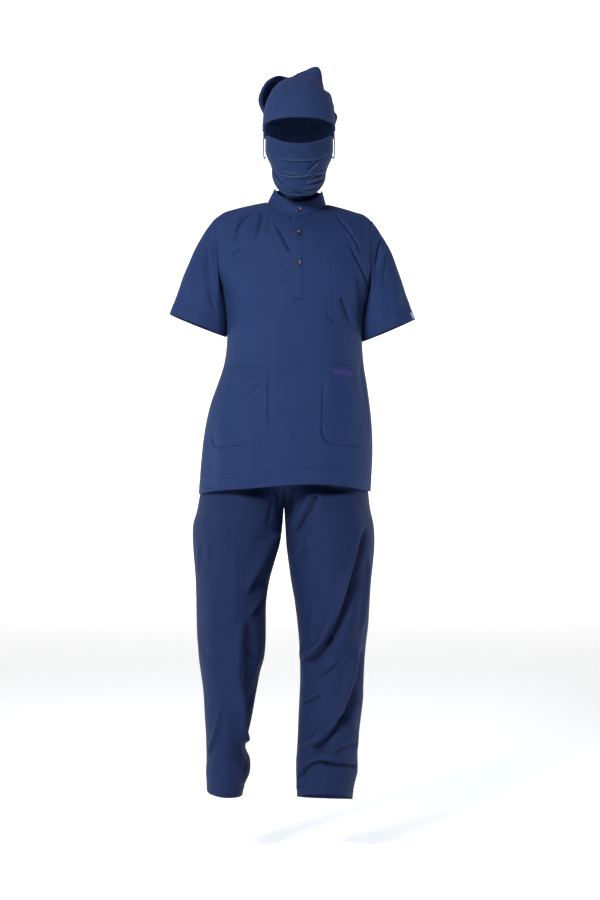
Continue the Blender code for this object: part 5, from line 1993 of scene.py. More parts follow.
RIGHT_LEG_CREASES = crease_table(
    (-56, -638, -65, -684, -73, -723, 5, -3.4, 0, 0.2),
    (-97, -735, -78, -733, -56, -731, 3.5, -2.6, 0, 0.3, 0.3),
    (-112, -861, -73, -787, -37, -720, 12, -6, -0.2, 0.3, 0.1, 0.2, 24),
    (-106, -908, -86, -874, -63, -837, 7.5, -2, 0, 0.35, 0.12, 0.35, 13),
    (-115, -1130, -120, -1014, -113, -905, 19, 0, 0, 0.2, 0.22, 0, 26),
    (-106, -1195, -117, -1135, -125, -1023, 10, -1, 0, 0.16, 0.4, 0, 19),
    (-134, -1079, -125, -1141, -108, -1212, 3.2, 2.2, 0, 0.3, 0.2),
    (-196, -1215, -177, -1143, -164, -1081, 4.5, 3.6, 0, 0.15, 0.35, 0.2, 5),
    (-214, -744, -216, -781, -218, -817, 3.5, 3, 0, 0.25, 0.25),
    (-199, -738, -196, -766, -196, -796, 5, 2.4, 0, 0.25),
    (-136, -694, -136, -813, -138, -941, 4.2, 1.6, 0.3, 0.3, 0.2, 0.2),
    (-114, -1212, -119, -1238, -123, -1271, 4.5, -3.6, 0, 0.25, 0.2),
    (-104, -1206, -104, -1230, -108, -1258, 4, 3.2, 0, 0.2, 0.3),
    (-218, -986, -207, -979, -192, -975, 4, -2.2, 0, 0.1, 0.5),
    (-207, -1059, -194, -1048, -179, -1042, 4, -2.2, 0, 0.1, 0.5),
    (-181, -846, -186, -953, -177, -1072, 20, 3, 0, 0.4, 0.4, 0.2),
    (-183, -1245, -153, -1234, -127, -1247, 11, -1.8, 0, 0.3, 0.3),
    (-164, -651, -158, -716, -166, -792, 20, 2.8, 0, 0.35, 0.4, 0.2),
    (-80, -975, -93, -1029, -101, -1083, 6, 2),
    (-41, -612, -43, -658, -39, -712, 6, -11, 0, 0.1, 0.35, 0.2),
    (-158, -953, -149, -997, -142, -1061, 10, 2, 0, 0.35, 0.35, 0.2),
    (-114, -953, -101, -979, -82, -1001, 5, -2.6, 0, 0.2, 0.3),
    (-145, -632, -84, -628, -24, -623, 11, -19, 0, 0.5, 0.05, 0),
)
LEFT_LEG_CREASES = crease_table(
    (-17, -727, 9, -684, 37, -636, 8, -4, -0.2, 0.25, 0.08, 0.3, 11),
    (-13, -789, 2, -766, 15, -744, 8.5, -2.2, 0, 0.35, 0.35, 0.3, 4.5),
    (108, -830, 125, -772, 140, -699, 8.5, -4, 0, 0.25, 0.3, 0.2, 14),
    (50, -966, 89, -893, 119, -785, 14, -5.6, 0, 0.15, 0.2, 0.2, 27.5),
    (7, -1003, 39, -980, 69, -938, 10, -4.4, 0, 0.2, 0.25, 0.2, 20),
    (132, -958, 145, -867, 153, -751, 5, 5.2, 0, 0.3, 0.3, 0.3, 5),
    (28, -841, 28, -900, 26, -964, 3.5, 1.5, 0, 0.3, 0.3),
    (22, -997, 22, -1044, 22, -1096, 3.5, 1.5, 0, 0.3, 0.3),
    (28, -1035, 60, -1020, 93, -988, 7.5, -1, 0, 0.35, 0.35, 0.2, 7),
    (4, -1092, 30, -1081, 54, -1061, 5.5, -1, 0, 0.2, 0.35, 0.2, 7),
    (80, -1132, 112, -1072, 136, -964, 13.5, -5, 0, 0.16, 0.22, 0.2, 27),
    (15, -1186, 56, -1166, 104, -1096, 11.5, -4, 0, 0.22, 0.22, 0.2, 23),
    (50, -1133, 32, -1167, -4, -1199, 3.6, 3.8, 0, 0.35, 0.12),
    (22, -1189, 41, -1191, 65, -1195, 3.5, -2.4),
    (65, -1206, 93, -1187, 127, -1178, 7, -1, 0, 0.3, 0.2, 0.2, 5.5),
    (0, -1258, 32, -1223, 78, -1225, 5, -8.4, 0, 0.1, 0.22),
    (41, -1224, 84, -1226, 127, -1236, 5, -8, 0, 0.25, 0.08),
    (11, -1234, 50, -1206, 114, -1217, 10, 4.8, 0, 0.25, 0.25),
    (11, -953, 7, -979, 2, -1010, 4.5, 3.6, 0, 0.3, 0.3),
    (9, -1057, 4, -1074, 2, -1092, 4, 3, 0, 0.3, 0.3),
    (7, -1221, 0, -1256, -2, -1288, 4.5, 3.6, 0, 0.2, 0.1),
    (78, -658, 106, -660, 138, -651, 3, -1.4, 0, 0.3, 0.3),
    (50, -781, 58, -846, 50, -910, 20, 2.6, 0, 0.35, 0.4, 0.2),
    (114, -1126, 123, -1169, 121, -1212, 11, 2.6, 0, 0.3, 0.3),
    (-25, -612, -23, -658, -19, -706, 6.5, -12, 0, 0.1, 0.35, 0.2),
    (78, -841, 69, -884, 50, -932, 6, 2.6, 0, 0.3, 0.3),
    (41, -694, 22, -733, 2, -764, 5, 2.2, 0, 0.3, 0.3),
    (-41, -623, 35, -621, 123, -632, 12, -20, 0, 0.05, 0.35, 0),
)


def raised(creases: Sequence[Crease], rise: float, share: float) -> tuple[Crease, ...]:
    """The larger creases of a table moved up and made shallower, for the other side."""
    return tuple(crease._replace(z0=crease.z0 + rise, z1=crease.z1 + rise, z2=crease.z2 + rise,
                                 width=crease.width * 1.25, depth=crease.depth * share)
                 for crease in creases if abs(crease.depth) > 0.0040)


RIGHT_LEG_BACK = raised(RIGHT_LEG_CREASES, 0.035, 0.75) + crease_table(
    (-46, -690, -105, -722, -170, -712, 12, -5.6, 0.3, 0.1, 0.35),
    (-56, -736, -110, -766, -166, -760, 11, -4, 0.3, 0.15, 0.4),
    (-204, -958, -152, -986, -88, -970, 11, -5.6, 0.3, 0.12, 0.25),
    (-200, -998, -152, -1020, -98, -1028, 10, -4.6, 0.3, 0.15, 0.3),
    (-150, -770, -150, -940, -152, -1150, 4.5, 2.4, 0, 0.25, 0.25, 0.2),
    (-194, -1216, -155, -1242, -116, -1222, 9, -5.2, 0.3, 0.12, 0.2),
)
LEFT_LEG_BACK = raised(LEFT_LEG_CREASES, 0.035, 0.75) + crease_table(
    (-20, -692, 40, -726, 104, -716, 12, -5.6, -0.3, 0.1, 0.35),
    (136, -962, 80, -988, 16, -966, 11, -5.2, -0.3, 0.12, 0.25),
    (70, -770, 68, -940, 66, -1150, 4.5, 2.4, 0, 0.25, 0.25, 0.2),
    (114, -1262, 64, -1282, 10, -1270, 9, -4.6, 0.3, 0.12, 0.2),
)


@dataclass(frozen=True)
class LegForm:
    """One leg of the trousers.

    Attributes:
        side: The wearer's side.
        rows: Its sections.
        hem: Its hem.
        front: Creases on its front.
        back: Creases on its back.
    """
    side: Side
    rows: tuple[LegRow, ...]
    hem: LegHem
    front: tuple[Crease, ...]
    back: tuple[Crease, ...]

    def leg_wall(self, facing: Facing, share: Array, z: Array) -> Array:
        """Leg section at z: share 0 is the outseam and 1 the inseam or the seat seam.

        Args:
            facing: Front or back.
            share: Shares across.
            z: Heights.

        Returns:
            Points.
        """
        centre, half = section(self.rows, z, ("outer", "inner"))
        depth = column(self.rows, facing.word, z)
        u = -np.cos(pi * share)
        return xyz(centre + half * u, facing * depth * dome(u, LEG_SQUARENESS), z)

    def hip_wall(self, facing: Facing, share: Array, z: Array) -> Array:
        """Hip section at z, from the outseam to the seat seam.

        Args:
            facing: Front or back.
            share: Shares across.
            z: Heights.

        Returns:
            Points.
        """
        centre, half = section(PELVIS_ROWS, z)
        depth = column(PELVIS_ROWS, facing.word, z)
        seam = (SEAT_SEAM - centre) / half * self.side
        u = seam + (1 - seam) * np.cos(pi / 2 * share)
        return xyz(centre + self.side * half * u, facing * depth * dome(u, PELVIS_SQUARENESS), z)

    def surface(self, facing: Facing, share: Array, z: Array) -> Array:
        """Smooth points of a panel.

        Args:
            facing: Front or back.
            share: Shares across.
            z: Heights.

        Returns:
            Points.
        """
        fork = np.clip((z - CROTCH_HEIGHT) / (FORK_TOP - CROTCH_HEIGHT), 0, 1)
        blend = (np.sin(pi / 2 * fork) ** FORK_SHAPE)[..., None]
        points = (1 - blend) * self.leg_wall(facing, share, z) + blend * self.hip_wall(facing, share, z)
        below = ease((PRESS_TOP - z) / PRESS_FADE)
        press = np.maximum(0, 1 - np.abs(share - 0.5) / PRESS_WIDTH)
        points[..., 1] += facing * PRESS_HEIGHT * press * below
        return self.kept_apart(points, facing, share, z)

    def kept_apart(self, points: Array, facing: Facing, share: Array, z: Array) -> Array:
        """Points kept on their own side of the outseam plane and of the seat seam.

        Args:
            points: The points.
            facing: Front or back.
            share: Their shares across.
            z: Their heights.

        Returns:
            The moved points.
        """
        keep_own_side(points, facing)
        closed = ease((z - CROTCH_HEIGHT) / FORK_CLEAR)
        limit = SEAT_SEAM + self.side * (HALF_SEAM + (CLOTH + HALF_SEAM) * (1 - closed))
        points[..., 0] += closed * share ** 4 * (limit[:, -1:] - points[:, -1:, 0])
        self.keep_off_seam(points, limit, z)
        return points

    def keep_off_seam(self, points: Array, limit: Array | float, z: Array) -> None:
        """Moves points at the fork that cross a limit at the seat seam back to the leg's side."""
        crossing = np.maximum(0, (limit - points[..., 0]) * self.side)
        points[..., 0] += self.side * crossing * (z > CROTCH_HEIGHT - FORK_REACH)

    def hem_height(self, facing: Facing, share: Array) -> Array:
        """Height of the hem from the outseam to the inseam.

        Args:
            facing: Front or back.
            share: Shares across.

        Returns:
            Heights.
        """
        hem = self.hem
        middle = hem.front if facing is Facing.FRONT else hem.back
        return (hem.outer + (hem.inner - hem.outer) * share
                + (middle - (hem.outer + hem.inner) / 2) * np.sin(pi * share))


LEGS = (
    LegForm(Side.RIGHT, RIGHT_LEG_ROWS, LegHem(-1.288, -1.296, -1.300, -1.318),
            RIGHT_LEG_CREASES, RIGHT_LEG_BACK),
    LegForm(Side.LEFT, LEFT_LEG_ROWS, LegHem(-1.312, -1.288, -1.306, -1.324),
            LEFT_LEG_CREASES, LEFT_LEG_BACK),
)


@dataclass
class TrouserPanel:
    """A front or back panel of a leg.

    Attributes:
        leg: The leg.
        facing: Front or back.
        ripple: Its slack.
        columns: Columns across it.
        rows: Rows up it.
        hem: Depth of the turned hem.
    """
    leg: LegForm
    facing: Facing
    ripple: Ripple
    columns: int = 80
    rows: int = 290
    hem: float = 0.022

    @property
    def name(self) -> str:
        """Its node's name."""
        return f"trouser_{self.facing.word}_{self.leg.side.word}"

    def grid(self, smooth: bool = False) -> ClothGrid:
        """Outer face from the hem to the waist, or the smooth surface it is cut for.

        Args:
            smooth: Leaves out creases, hem and seams.

        Returns:
            The grid.
        """
        share = np.linspace(0, 1, self.columns + 1)
        hem = self.leg.hem_height(self.facing, share)
        top = WAIST_HEIGHT - 2 * HALF_SEAM
        long = top - hem.mean()
        up = shares(self.rows, (HEM_ROLL / long, self.hem / long), HEM_ROWS / long)[:, None]
        z = hem + (top - hem) * up
        share = np.broadcast_to(share, z.shape)
        base = ClothGrid(self.leg.surface(self.facing, share, z), seat=Seat(self.leg.side * self.facing))
        if smooth:
            return base
        across, _ = base.lengths()
        creases = self.leg.front if self.facing is Facing.FRONT else self.leg.back
        turn = np.sin(pi * share)
        relief = crease_relief(creases, base.points[..., 0], z) * ease(turn / 0.40)
        relief += self.ripple.relief(across, z) * ease(turn / 0.25)
        relief += hem_relief(z - hem, across, self.hem, self.leg.side)
        edge = np.minimum(across, across[:, -1:] - across)
        relief -= SEAM_DIP * bump(edge / 0.0022)
        free = ease((WAIST_HEIGHT - z) / 0.02)
        outer = base.moved(CLOTH + relief * free)
        keep_own_side(outer.points, self.facing)
        self.leg.keep_off_seam(outer.points, SEAT_SEAM + self.leg.side * HALF_SEAM, z)
        return outer

    def build(self, stitches: StitchBook) -> None:
        """Makes the panel with its hem stitching.

        Args:
            stitches: Where its stitches go.
        """
        outer = self.grid()
        place_cloth(self.name, outer, TROUSER_NAVY,
                    self.grid(smooth=True))
        _, up = outer.lengths()
        stitches.along(outer, np.s_[nearest(up[:, self.columns // 2], self.hem), 1:-1])


@dataclass
class Waistband:
    """The waistband, on the section of the trousers' waist.

    Attributes:
        top: Height of its top edge.
        wall: Its wall.
        columns: Columns round it.
        channels: Shares of its height with a sewn channel.
    """
    top: float = -0.366
    wall: float = 0.0030
    columns: int = 200
    channels: tuple[float, ...] = (0.12, 0.5, 0.88)

    def build(self) -> None:
        """Makes the band with its fine gathers."""
        turns = np.linspace(0, tau, self.columns, endpoint=False)
        centre, half = section(PELVIS_ROWS, WAIST_HEIGHT)
        deep = np.where(np.sin(turns) < 0, column(PELVIS_ROWS, "front", WAIST_HEIGHT),
                        column(PELVIS_ROWS, "back", WAIST_HEIGHT))
        u = np.cos(turns)
        x = centre + half * u
        y = np.sign(np.sin(turns)) * deep * dome(u, PELVIS_SQUARENESS)
        levels = shares(14, self.channels, 0.03)
        rise = self.top - WAIST_HEIGHT
        rows = [xyz(x, y, np.full_like(x, WAIST_HEIGHT + rise * level)) for level in levels]
        smooth = ClothGrid(np.array(rows), True)
        channel = sum(bump((levels - mark) / 0.03) for mark in self.channels)[:, None]
        gather = 0.0005 * np.sin(turns * 48 + 2 * np.sin(turns * 7)) * (1 - 0.6 * channel)
        outer = smooth.moved(gather - 0.0006 - 0.0007 * channel)
        place_cloth("waistband", outer, TROUSER_NAVY, smooth,
                    wall=self.wall)


# ---- headwear ----------------------------------------------------------------------------
CAP_LOBES = (
    CapLobe(151, 32, 8, 0.0170, 0.018), CapLobe(150, 40, 9, 0.0170, 0.022),
    CapLobe(147, 49, 10, 0.0170, 0.024), CapLobe(141, 58, 10, 0.0160, 0.024),
    CapLobe(131, 66, 10, 0.0090, 0.022), CapLobe(167, 36, 5, -0.0040, -0.026),
    CapLobe(166, 44, 5, -0.0040, -0.030), CapLobe(164, 53, 5, -0.0030, -0.032),
    CapLobe(159, 62, 5, -0.0020, -0.030), CapLobe(150, 71, 6, 0.0000, -0.022),
    CapLobe(27, 71, 8, 0.0330), CapLobe(60, 82, 9, 0.0150), CapLobe(32, 46, 9, 0.0130),
    CapLobe(22, 32, 9, 0.0060), CapLobe(16, 20, 7, 0.0090),
)
CAP_FRONT_EDGE = (
    CapEdge(-92, 79), CapEdge(-60, 80), CapEdge(-30, 78), CapEdge(-14, 73), CapEdge(10, 62),
    CapEdge(22, 53), CapEdge(50, 50), CapEdge(75, 50), CapEdge(92, 47),
)
CAP_CREASES = crease_table(  # places and widths in degrees of azimuth and climb
    (60, 20, 66, 45, 70, 70, 4.5, -3, 0, 0.3, 0.4),
    (100, 10, 104, 40, 98, 70, 5, -3.4, 0, 0.3, 0.4),
    (122, 20, 120, 45, 124, 66, 4.5, -3, 0, 0.3, 0.4),
    (30, 52, 36, 58, 48, 62, 3.5, -2.8, 0, 0.3, 0.4),
    (148, 20, 147, 34, 149, 50, 3, -2.2, 0, 0.3, 0.4),
)
PANEL_CREASES = crease_table(
    (-36, 243, -27, 233, -17, 221, 3.6, -2, 0, 0.1, 0.5),
    (-28, 246, -20, 238, -12, 230, 3.2, -1.6, 0, 0.1, 0.5),
    (-52, 198, -30, 196, -8, 199, 3, -1, 0, 0.35, 0.4),
    (-20, 205, 4, 203, 26, 206, 3.2, -0.9, 0, 0.35, 0.4),
    (30, 232, 36, 214, 38, 196, 4, -1.2, 0, 0.2, 0.5),
)
CAP_SLACK = Ripple(71, 0.0009, 0.018, 0.050, 1.0)
PANEL_SLACK = Ripple(72, 0.0004, 0.018, 0.060, 1.0)
MASK_ROWS = table(MaskRow,
    (112, -71.5, 73, -40, -124), (94, -72.2, 73.2, -38, -128), (76, -71.5, 72.5, -36, -128),
    (64, -67, 70, -35, -126), (53, -62, 65, -35, -124), (43, -58.5, 61, -36, -121),
    (30, -58, 57.5, -39, -115), (18, -56, 56, -43, -107), (4, -50.5, 50.5, -50, -96),
)
MASK_CREASES = crease_table(
    (43, 80, 30, 63, 13, 48, 3, -2.6, 0.3, 0.15, 0.3, 0.3, 4),
    (58, 67, 43, 54, 21, 41, 3, -3, 0, 0.15, 0.3, 0.3, 3),
    (-68, 114, -58, 82, -51, 63, 2, 2.6, 0, 0.12, 0.2),
    (-63, 80, -52, 46, -34, 20, 1.6, 5, 0, 0.12, 0.25, 0),
    (-55, 70, -43, 42, -25, 19, 3.2, -4.6, 0, 0.15, 0.3),
    (-56, 66, -25, 48, 11, 45, 2.6, -2.4, 0, 0.12, 0.3, 0.3, 3.6),
    (9, 41, 30, 45, 56, 54, 2.6, -3.4, 0, 0.2, 0.1, 0.3, 6),
    (11, 26, 34, 33, 56, 48, 2.8, -4, 0, 0.3, 0.1, 0.3, 8),
    (2, 15, 32, 20, 56, 37, 3, -4.8, 0, 0.3, 0.1, 0.3, 8.5),
    (0, 7, 28, 9, 51, 24, 2.8, -4, 0, 0.3, 0.1, 0.3, 6.5),
    (28, 35, 41, 41, 54, 54, 2.4, 3, 0, 0.2, 0.3),
    (-28, 22, -9, 13, 13, 11, 3.6, -3, 0, 0.3, 0.3, 0.3, 2),
    (-45, 28, -19, 35, 9, 30, 4, -1.6, 0, 0.3, 0.3),
    (-43, 95, -15, 97, 15, 93, 4, -1.2),
    (24, 97, 41, 101, 60, 108, 3, -1.6, 0, 0.3, 0.3),
    (62, 108, 66, 95, 60, 78, 2.2, 3, 0, 0.3, 0.3),
    (-34, 65, -19, 60, -2, 63, 3.6, -1.4),
)
MASK_SLACK = Ripple(81, 0.0006, 0.014, 0.050, 1.0)
EAR_LOOP = table(EarLoopPoint,
    (76.2, -50, 133.5), (76.6, -42, 135), (77, -20, 141.5), (77.8, -2, 143), (78.4, 12, 135),
    (78.2, 16, 121), (77.6, 10, 106), (76.6, -6, 97), (75.2, -26, 94.5), (73.6, -41, 94),
    (72.8, -49, 94),
)
# Third colours are painted highlights on ridges; the mask's much lighter one paints a strong highlight on
# its ridges and edges.
HEAD_NAVY = ClothFinish("head_plainweave", (0.0135, 0.0285, 0.0880, 1), (0.0112, 0.0240, 0.0780, 1),
                        (0.0250, 0.0470, 0.1300, 1), 0.80, 0.02, 0.0009)
MASK_NAVY = ClothFinish("mask_plainweave", (0.0105, 0.0245, 0.0750, 1), (0.0088, 0.0205, 0.0660, 1),
                        (0.0900, 0.1300, 0.2700, 1), 0.80, 0.02, 0.0009)


@dataclass
class Cap:
    """The soft cap: a puffed crown sewn under a front panel.

    Attributes:
        centre: Centre of its dome.
        half_width: Half its width.
        half_depth: Half its depth.
        rise: Height above the centre.
        squareness: How square it is.
        wall: Its wall.
        reach: Distance of the brim from its middle.
        inset: How far the crown runs inside the panel.
        side: Turn from the front middle to the panel's side edges, in degrees.
        edge_margin: How far past the panel's upper edge the crown stays hidden, in degrees.
        edge_fade: Over how many degrees it comes out there.
        side_margin: The same beside the panel.
        brim_front: Height of the brim above the centre, in front.
        brim_back: And behind.
        lines: Shares of the panel's height with a stitch line.
        lip: Share of its height at which its edge starts to roll in.
        brim_line: Share of the crown's height with a stitch line.
        panel_rows: Even rows of the panel.
    """
    centre: tuple[float, float, float] = (0.0, -0.0120, 0.1600)
    half_width: float = 0.0785
    half_depth: float = 0.1000
    rise: float = 0.1130
    squareness: float = 2.3
    wall: float = 0.0015
    reach: float = 0.090
    inset: float = 0.0034
    side: float = 92.0
    edge_margin: float = 7.0
    edge_fade: float = 9.0
    side_margin: float = 8.0
    brim_front: float = 0.0100
    brim_back: float = -0.0300
    lines: tuple[float, float] = (0.16, 0.962)
    lip: float = 0.985
    brim_line: float = 0.12
    panel_rows: int = 62

    def brim(self, azimuth: Array) -> Array:
        """Height of the brim above the centre."""
        back = (1 + np.sin(azimuth)) / 2
        return self.brim_front + (self.brim_back - self.brim_front) * back ** 1.5

    def covered(self, azimuth: Array, climb: Array) -> Array:
        """1 where the crown runs under the panel, easing to 0 outside its edges.

        Args:
            azimuth: Directions round it.
            climb: And up.

        Returns:
            Shares.
        """
        turn = (np.degrees(azimuth) + 90 + 180) % 360 - 180
        edge = column(CAP_FRONT_EDGE, "climb", turn, key="turn")
        above = ease((edge + self.edge_margin + self.edge_fade - np.degrees(climb)) / self.edge_fade)
        beside = ease((self.side + 2 * self.side_margin - np.abs(turn)) / self.side_margin)
        return above * beside

    def points(self, azimuth: Array, climb: Array, lobes: Array | float, lift: Array | float) -> Array:
        """Points of the cap's wall in a direction.

        Args:
            azimuth: Directions round it.
            climb: And up.
            lobes: How much of the lobes shows.
            lift: How far out.

        Returns:
            Points.
        """
        direction = xyz(np.cos(azimuth) * np.cos(climb), np.sin(azimuth) * np.cos(climb),
                        np.sin(climb) + 0 * azimuth)
        axes = np.array([self.half_width, self.half_depth, self.rise])
        reach = (np.abs(direction / axes) ** self.squareness).sum(axis=-1) ** (-1 / self.squareness)
        lean = np.zeros_like(reach)
        for lobe in CAP_LOBES:
            around, up = radians(lobe.azimuth), radians(lobe.climb)
            middle = np.array([cos(around) * cos(up), sin(around) * cos(up), sin(up)])
            away = np.degrees(np.arccos(np.clip(direction @ middle, -1, 1)))
            reach = reach + lobes * lobe.reach * bump(away / lobe.size)
            lean = lean + lobes * lobe.forward * bump(away / lobe.size)
        points = np.array(self.centre) + direction * (reach + lift)[..., None]
        points[..., 1] -= lean
        return points

    def crown(self, columns: int = 220, rows: int = 84) -> ClothGrid:
        """Outer face of the crown.

        Args:
            columns: Columns round it.
            rows: Even rows up it.

        Returns:
            The grid.
        """
        azimuth = np.linspace(0, tau, columns, endpoint=False)[None, :]
        start = np.arctan2(self.brim(azimuth), self.reach)
        up = shares(rows, (0.012, self.brim_line), 0.006)[:, None]
        climb = start + (radians(86) - start) * up
        azimuth = np.broadcast_to(azimuth, climb.shape)
        hidden = self.covered(azimuth, climb)
        surface = ClothGrid(self.points(azimuth, climb, 1 - hidden, -self.inset * hidden), True,
                            pole=True)
        seam = 4 * hidden * (1 - hidden)
        gather = 0.0007 * np.sin(np.degrees(azimuth) * 1.15 + 3 * np.sin(azimuth * 5)) * seam
        slack = CAP_SLACK.relief(azimuth * 0.085, climb * 0.10) * (1 - hidden)
        hem = -0.0006 * bump((up - self.brim_line) / 0.006) * (1 - hidden)
        tucks = crease_relief(CAP_CREASES, np.degrees(azimuth) / MILLIMETRES,
                              np.degrees(climb) / MILLIMETRES)
        return surface.moved(self.wall + gather + slack + hem + tucks * (1 - hidden))

    def panel_levels(self) -> Array:
        """Shares of the panel's height with a row."""
        return shares(self.panel_rows, (0.03, *self.lines, self.lip), 0.006)

    def panel(self, columns: int = 150) -> ClothGrid:
        """Outer face of the front panel.

        Args:
            columns: Steps across it.

        Returns:
            The grid.
        """
        turns = np.linspace(-self.side, self.side, columns + 1)
        azimuth = np.radians(turns - 90)[None, :]
        top = np.radians(column(CAP_FRONT_EDGE, "climb", turns, key="turn"))
        start = np.arctan2(self.brim(azimuth), self.reach)
        up = self.panel_levels()[:, None]
        climb = start + (top - start) * up
        azimuth = np.broadcast_to(azimuth, climb.shape)
        surface = ClothGrid(self.points(azimuth, climb, 0.0, np.zeros_like(climb)))
        x, z = surface.points[..., 0], surface.points[..., 2]
        from_side = np.radians(self.side - np.abs(turns)) * self.half_width
        groove = (sum(bump((up - mark) / 0.008) for mark in self.lines[::-1])
                  + bump((from_side - 0.0035) / 0.0012))
        roll = ease((up - self.lip) / (1 - self.lip)) + ease((0.0015 - from_side) / 0.0015)
        relief = (PANEL_SLACK.relief(x, z) + crease_relief(PANEL_CREASES, x, z)
                  - 0.0004 * groove - 0.0008 * np.minimum(roll, 1))
        return surface.moved(self.wall + relief)

    def build(self, stitches: StitchBook) -> None:
        """Makes crown and panel, with the panel's stitching.

        Args:
            stitches: Where its stitches go.
        """
        crown, panel = self.crown(), self.panel()
        place_cloth("cap_crown", crown, HEAD_NAVY, crown)
        place_cloth("cap_front", panel, HEAD_NAVY, panel)
        rows = [nearest(self.panel_levels(), mark) for mark in self.lines]
        stitches.along(panel, *(np.s_[row, 2:-2] for row in rows))


@dataclass
class Mask:
    """The pleated mask with its bound edges.

    Attributes:
        side_rise: How far its rows climb towards the ears.
        top_bend: How late the top row climbs.
        low_bend: How late the bottom row climbs.
        squareness: How square its section is.
        pleats: Share of the way down to each pleat's edge.
        span: Share of the height over which a pleat fills.
        step: How far a pleat's edge stands out.
        wall: Its wall.
        edge: Share of a quarter turn at which the side edges stop.
        lines: Shares of the height with a stitch line.
    """
    side_rise: float = 0.0280
    top_bend: float = 2.2
    low_bend: float = 3.6
    squareness: float = 2.2
    pleats: tuple[float, ...] = (0.34, 0.66, 0.92)
    span: float = 0.22
    step: float = 0.0056
    wall: float = 0.0010
    edge: float = 0.97
    lines: tuple[float, float] = (0.070, 0.930)

    def path(self) -> tuple[Array, Array]:
        """Way down the mask over its folded pleats: share of the height and height of the cloth.

        Returns:
            Both, from the top down.
        """
        fold = ((0.000, 1.00), (0.005, 0.95), (0.0075, 0.72), (0.006, 0.50), (0.000, 0.30),
                (-0.010, 0.16), (-0.017, 0.02), (-0.016, -0.20), (-0.006, -0.42), (0.005, -0.44),
                (0.014, -0.22), (0.022, -0.05))
        down: list[float] = []
        lift: list[float] = []
        start = 0.0
        for pleat in (*self.pleats, None):
            end = 1.0 if pleat is None else pleat - 0.004
            for at in np.arange(start, end, 0.0105):
                fill = 0.0 if pleat is None else max(0.0, 1 + (at - pleat) / self.span)
                down.append(float(at))
                lift.append(self.step * fill)
            if pleat is not None:
                down += [pleat + shift for shift, _ in fold]
                lift += [self.step * height for _, height in fold]
                start = pleat + 0.028
        down.append(1.0)
        lift.append(0.0)
        return np.array(down), np.array(lift)

    def grid(self, columns: int = 116) -> ClothGrid:
        """Outer face from the lower edge to the upper one.

        Args:
            columns: Steps across it.

        Returns:
            The grid.
        """
        across = np.sin(np.linspace(-pi / 2, pi / 2, columns + 1) * self.edge)[None, :]
        away = np.abs(across)
        down, lift = (values[::-1, None] for values in self.path())
        top, bottom = MASK_ROWS[0].height, MASK_ROWS[-1].height
        level = top + (bottom - top) * down
        centre, half = section(MASK_ROWS, level)
        side_y, front_y = (column(MASK_ROWS, name, level) for name in ("side_y", "front_y"))
        x = centre + half * across
        bend = self.top_bend + (self.low_bend - self.top_bend) * down
        z = level + self.side_rise * away ** bend
        y = side_y + (front_y - side_y) * dome(away, self.squareness)
        y = y - lift * dome(away, 4) * (1 - 0.45 * away ** 3)
        surface = ClothGrid(xyz(x, y, z))
        trim = np.minimum(down, 1 - down) * (top - bottom)
        band = bump((trim - 0.0075) / 0.0010) + bump((0.93 - away) / 0.010) * (away > 0.90)
        relief = (crease_relief(MASK_CREASES, x, z) * ease(trim / 0.008)
                  + MASK_SLACK.relief(x, z) - 0.0004 * band)
        relief *= ease((1.0 - away) / 0.04)
        surface.points[..., 1] -= relief
        return surface.moved(CLOTH)

    def build(self, stitches: StitchBook) -> None:
        """Makes the mask with its edge stitching.

        Args:
            stitches: Where its stitches go.
        """
        outer = self.grid()
        place_cloth("mask", outer, MASK_NAVY, outer, wall=self.wall)
        down, _ = self.path()
        rows = [nearest(1 - down[::-1], mark) for mark in self.lines]
        stitches.along(outer, *(np.s_[row, 3:-3] for row in rows), np.s_[::2, 4], np.s_[::2, -5])


@dataclass
class EarLoop:
    """An elastic loop from the mask's upper corner round the ear to its side.

    Attributes:
        side: The wearer's side.
        radius: Half its thickness.
        steps: Rings along it.
        sides: Columns round it.
        braid: Length over which its braid repeats.
    """
    side: Side
    radius: float = 0.0014
    steps: int = 140
    sides: int = 14
    braid: float = 0.0042

    def route(self, steps: int) -> Array:
        """Its middle line.

        Args:
            steps: Steps along it.

        Returns:
            Points.
        """
        points = np.array([(self.side * point.out, point.back, point.height) for point in EAR_LOOP])
        marks = np.arange(len(points))
        along = np.linspace(0, len(points) - 1, steps + 1)
        return xyz(*(smooth_curve(marks, points[:, axis], along) for axis in range(3)))

    def build(self) -> None:
        """Makes the loop as a braided tube with closed ends."""
        core = self.route(self.steps)
        way = unit(np.gradient(core, axis=0))
        side = unit(np.cross(way, np.array([1.0, 0.0, 0.0])))
        other = np.cross(way, side)
        far = passed(core)
        turns = np.linspace(0, tau, self.sides, endpoint=False)
        twist = far[:, None] * tau / self.braid
        weave = np.sin(2 * turns + twist) * np.sin(2 * turns - twist)
        size = self.radius * (1 - 0.06 + 0.10 * weave)
        rings = core[:, None] + size[..., None] * (side[:, None] * np.cos(turns)[None, :, None]
                                                   + other[:, None] * np.sin(turns)[None, :, None])
        grid = ClothGrid(rings, True)
        count = rings.shape[0] * self.sides
        faces = grid.faces() + [tuple(range(self.sides - 1, -1, -1)),
                                tuple(range(count - self.sides, count))]
        name = f"ear_loop_{self.side.word}"
        mesh = bpy.data.meshes.new(name)
        mesh.from_pydata(rings.reshape(-1, 3).tolist(), [], faces)
        mesh.uv_layers.new(name="weave")
        mesh.shade_smooth()
        loop = place_piece(name + "_elastic", mesh, ELASTIC, name)
        [tuple(point) for point in self.route(60)]
        LOG.info("%s: %.4f m long", name, far[-1])


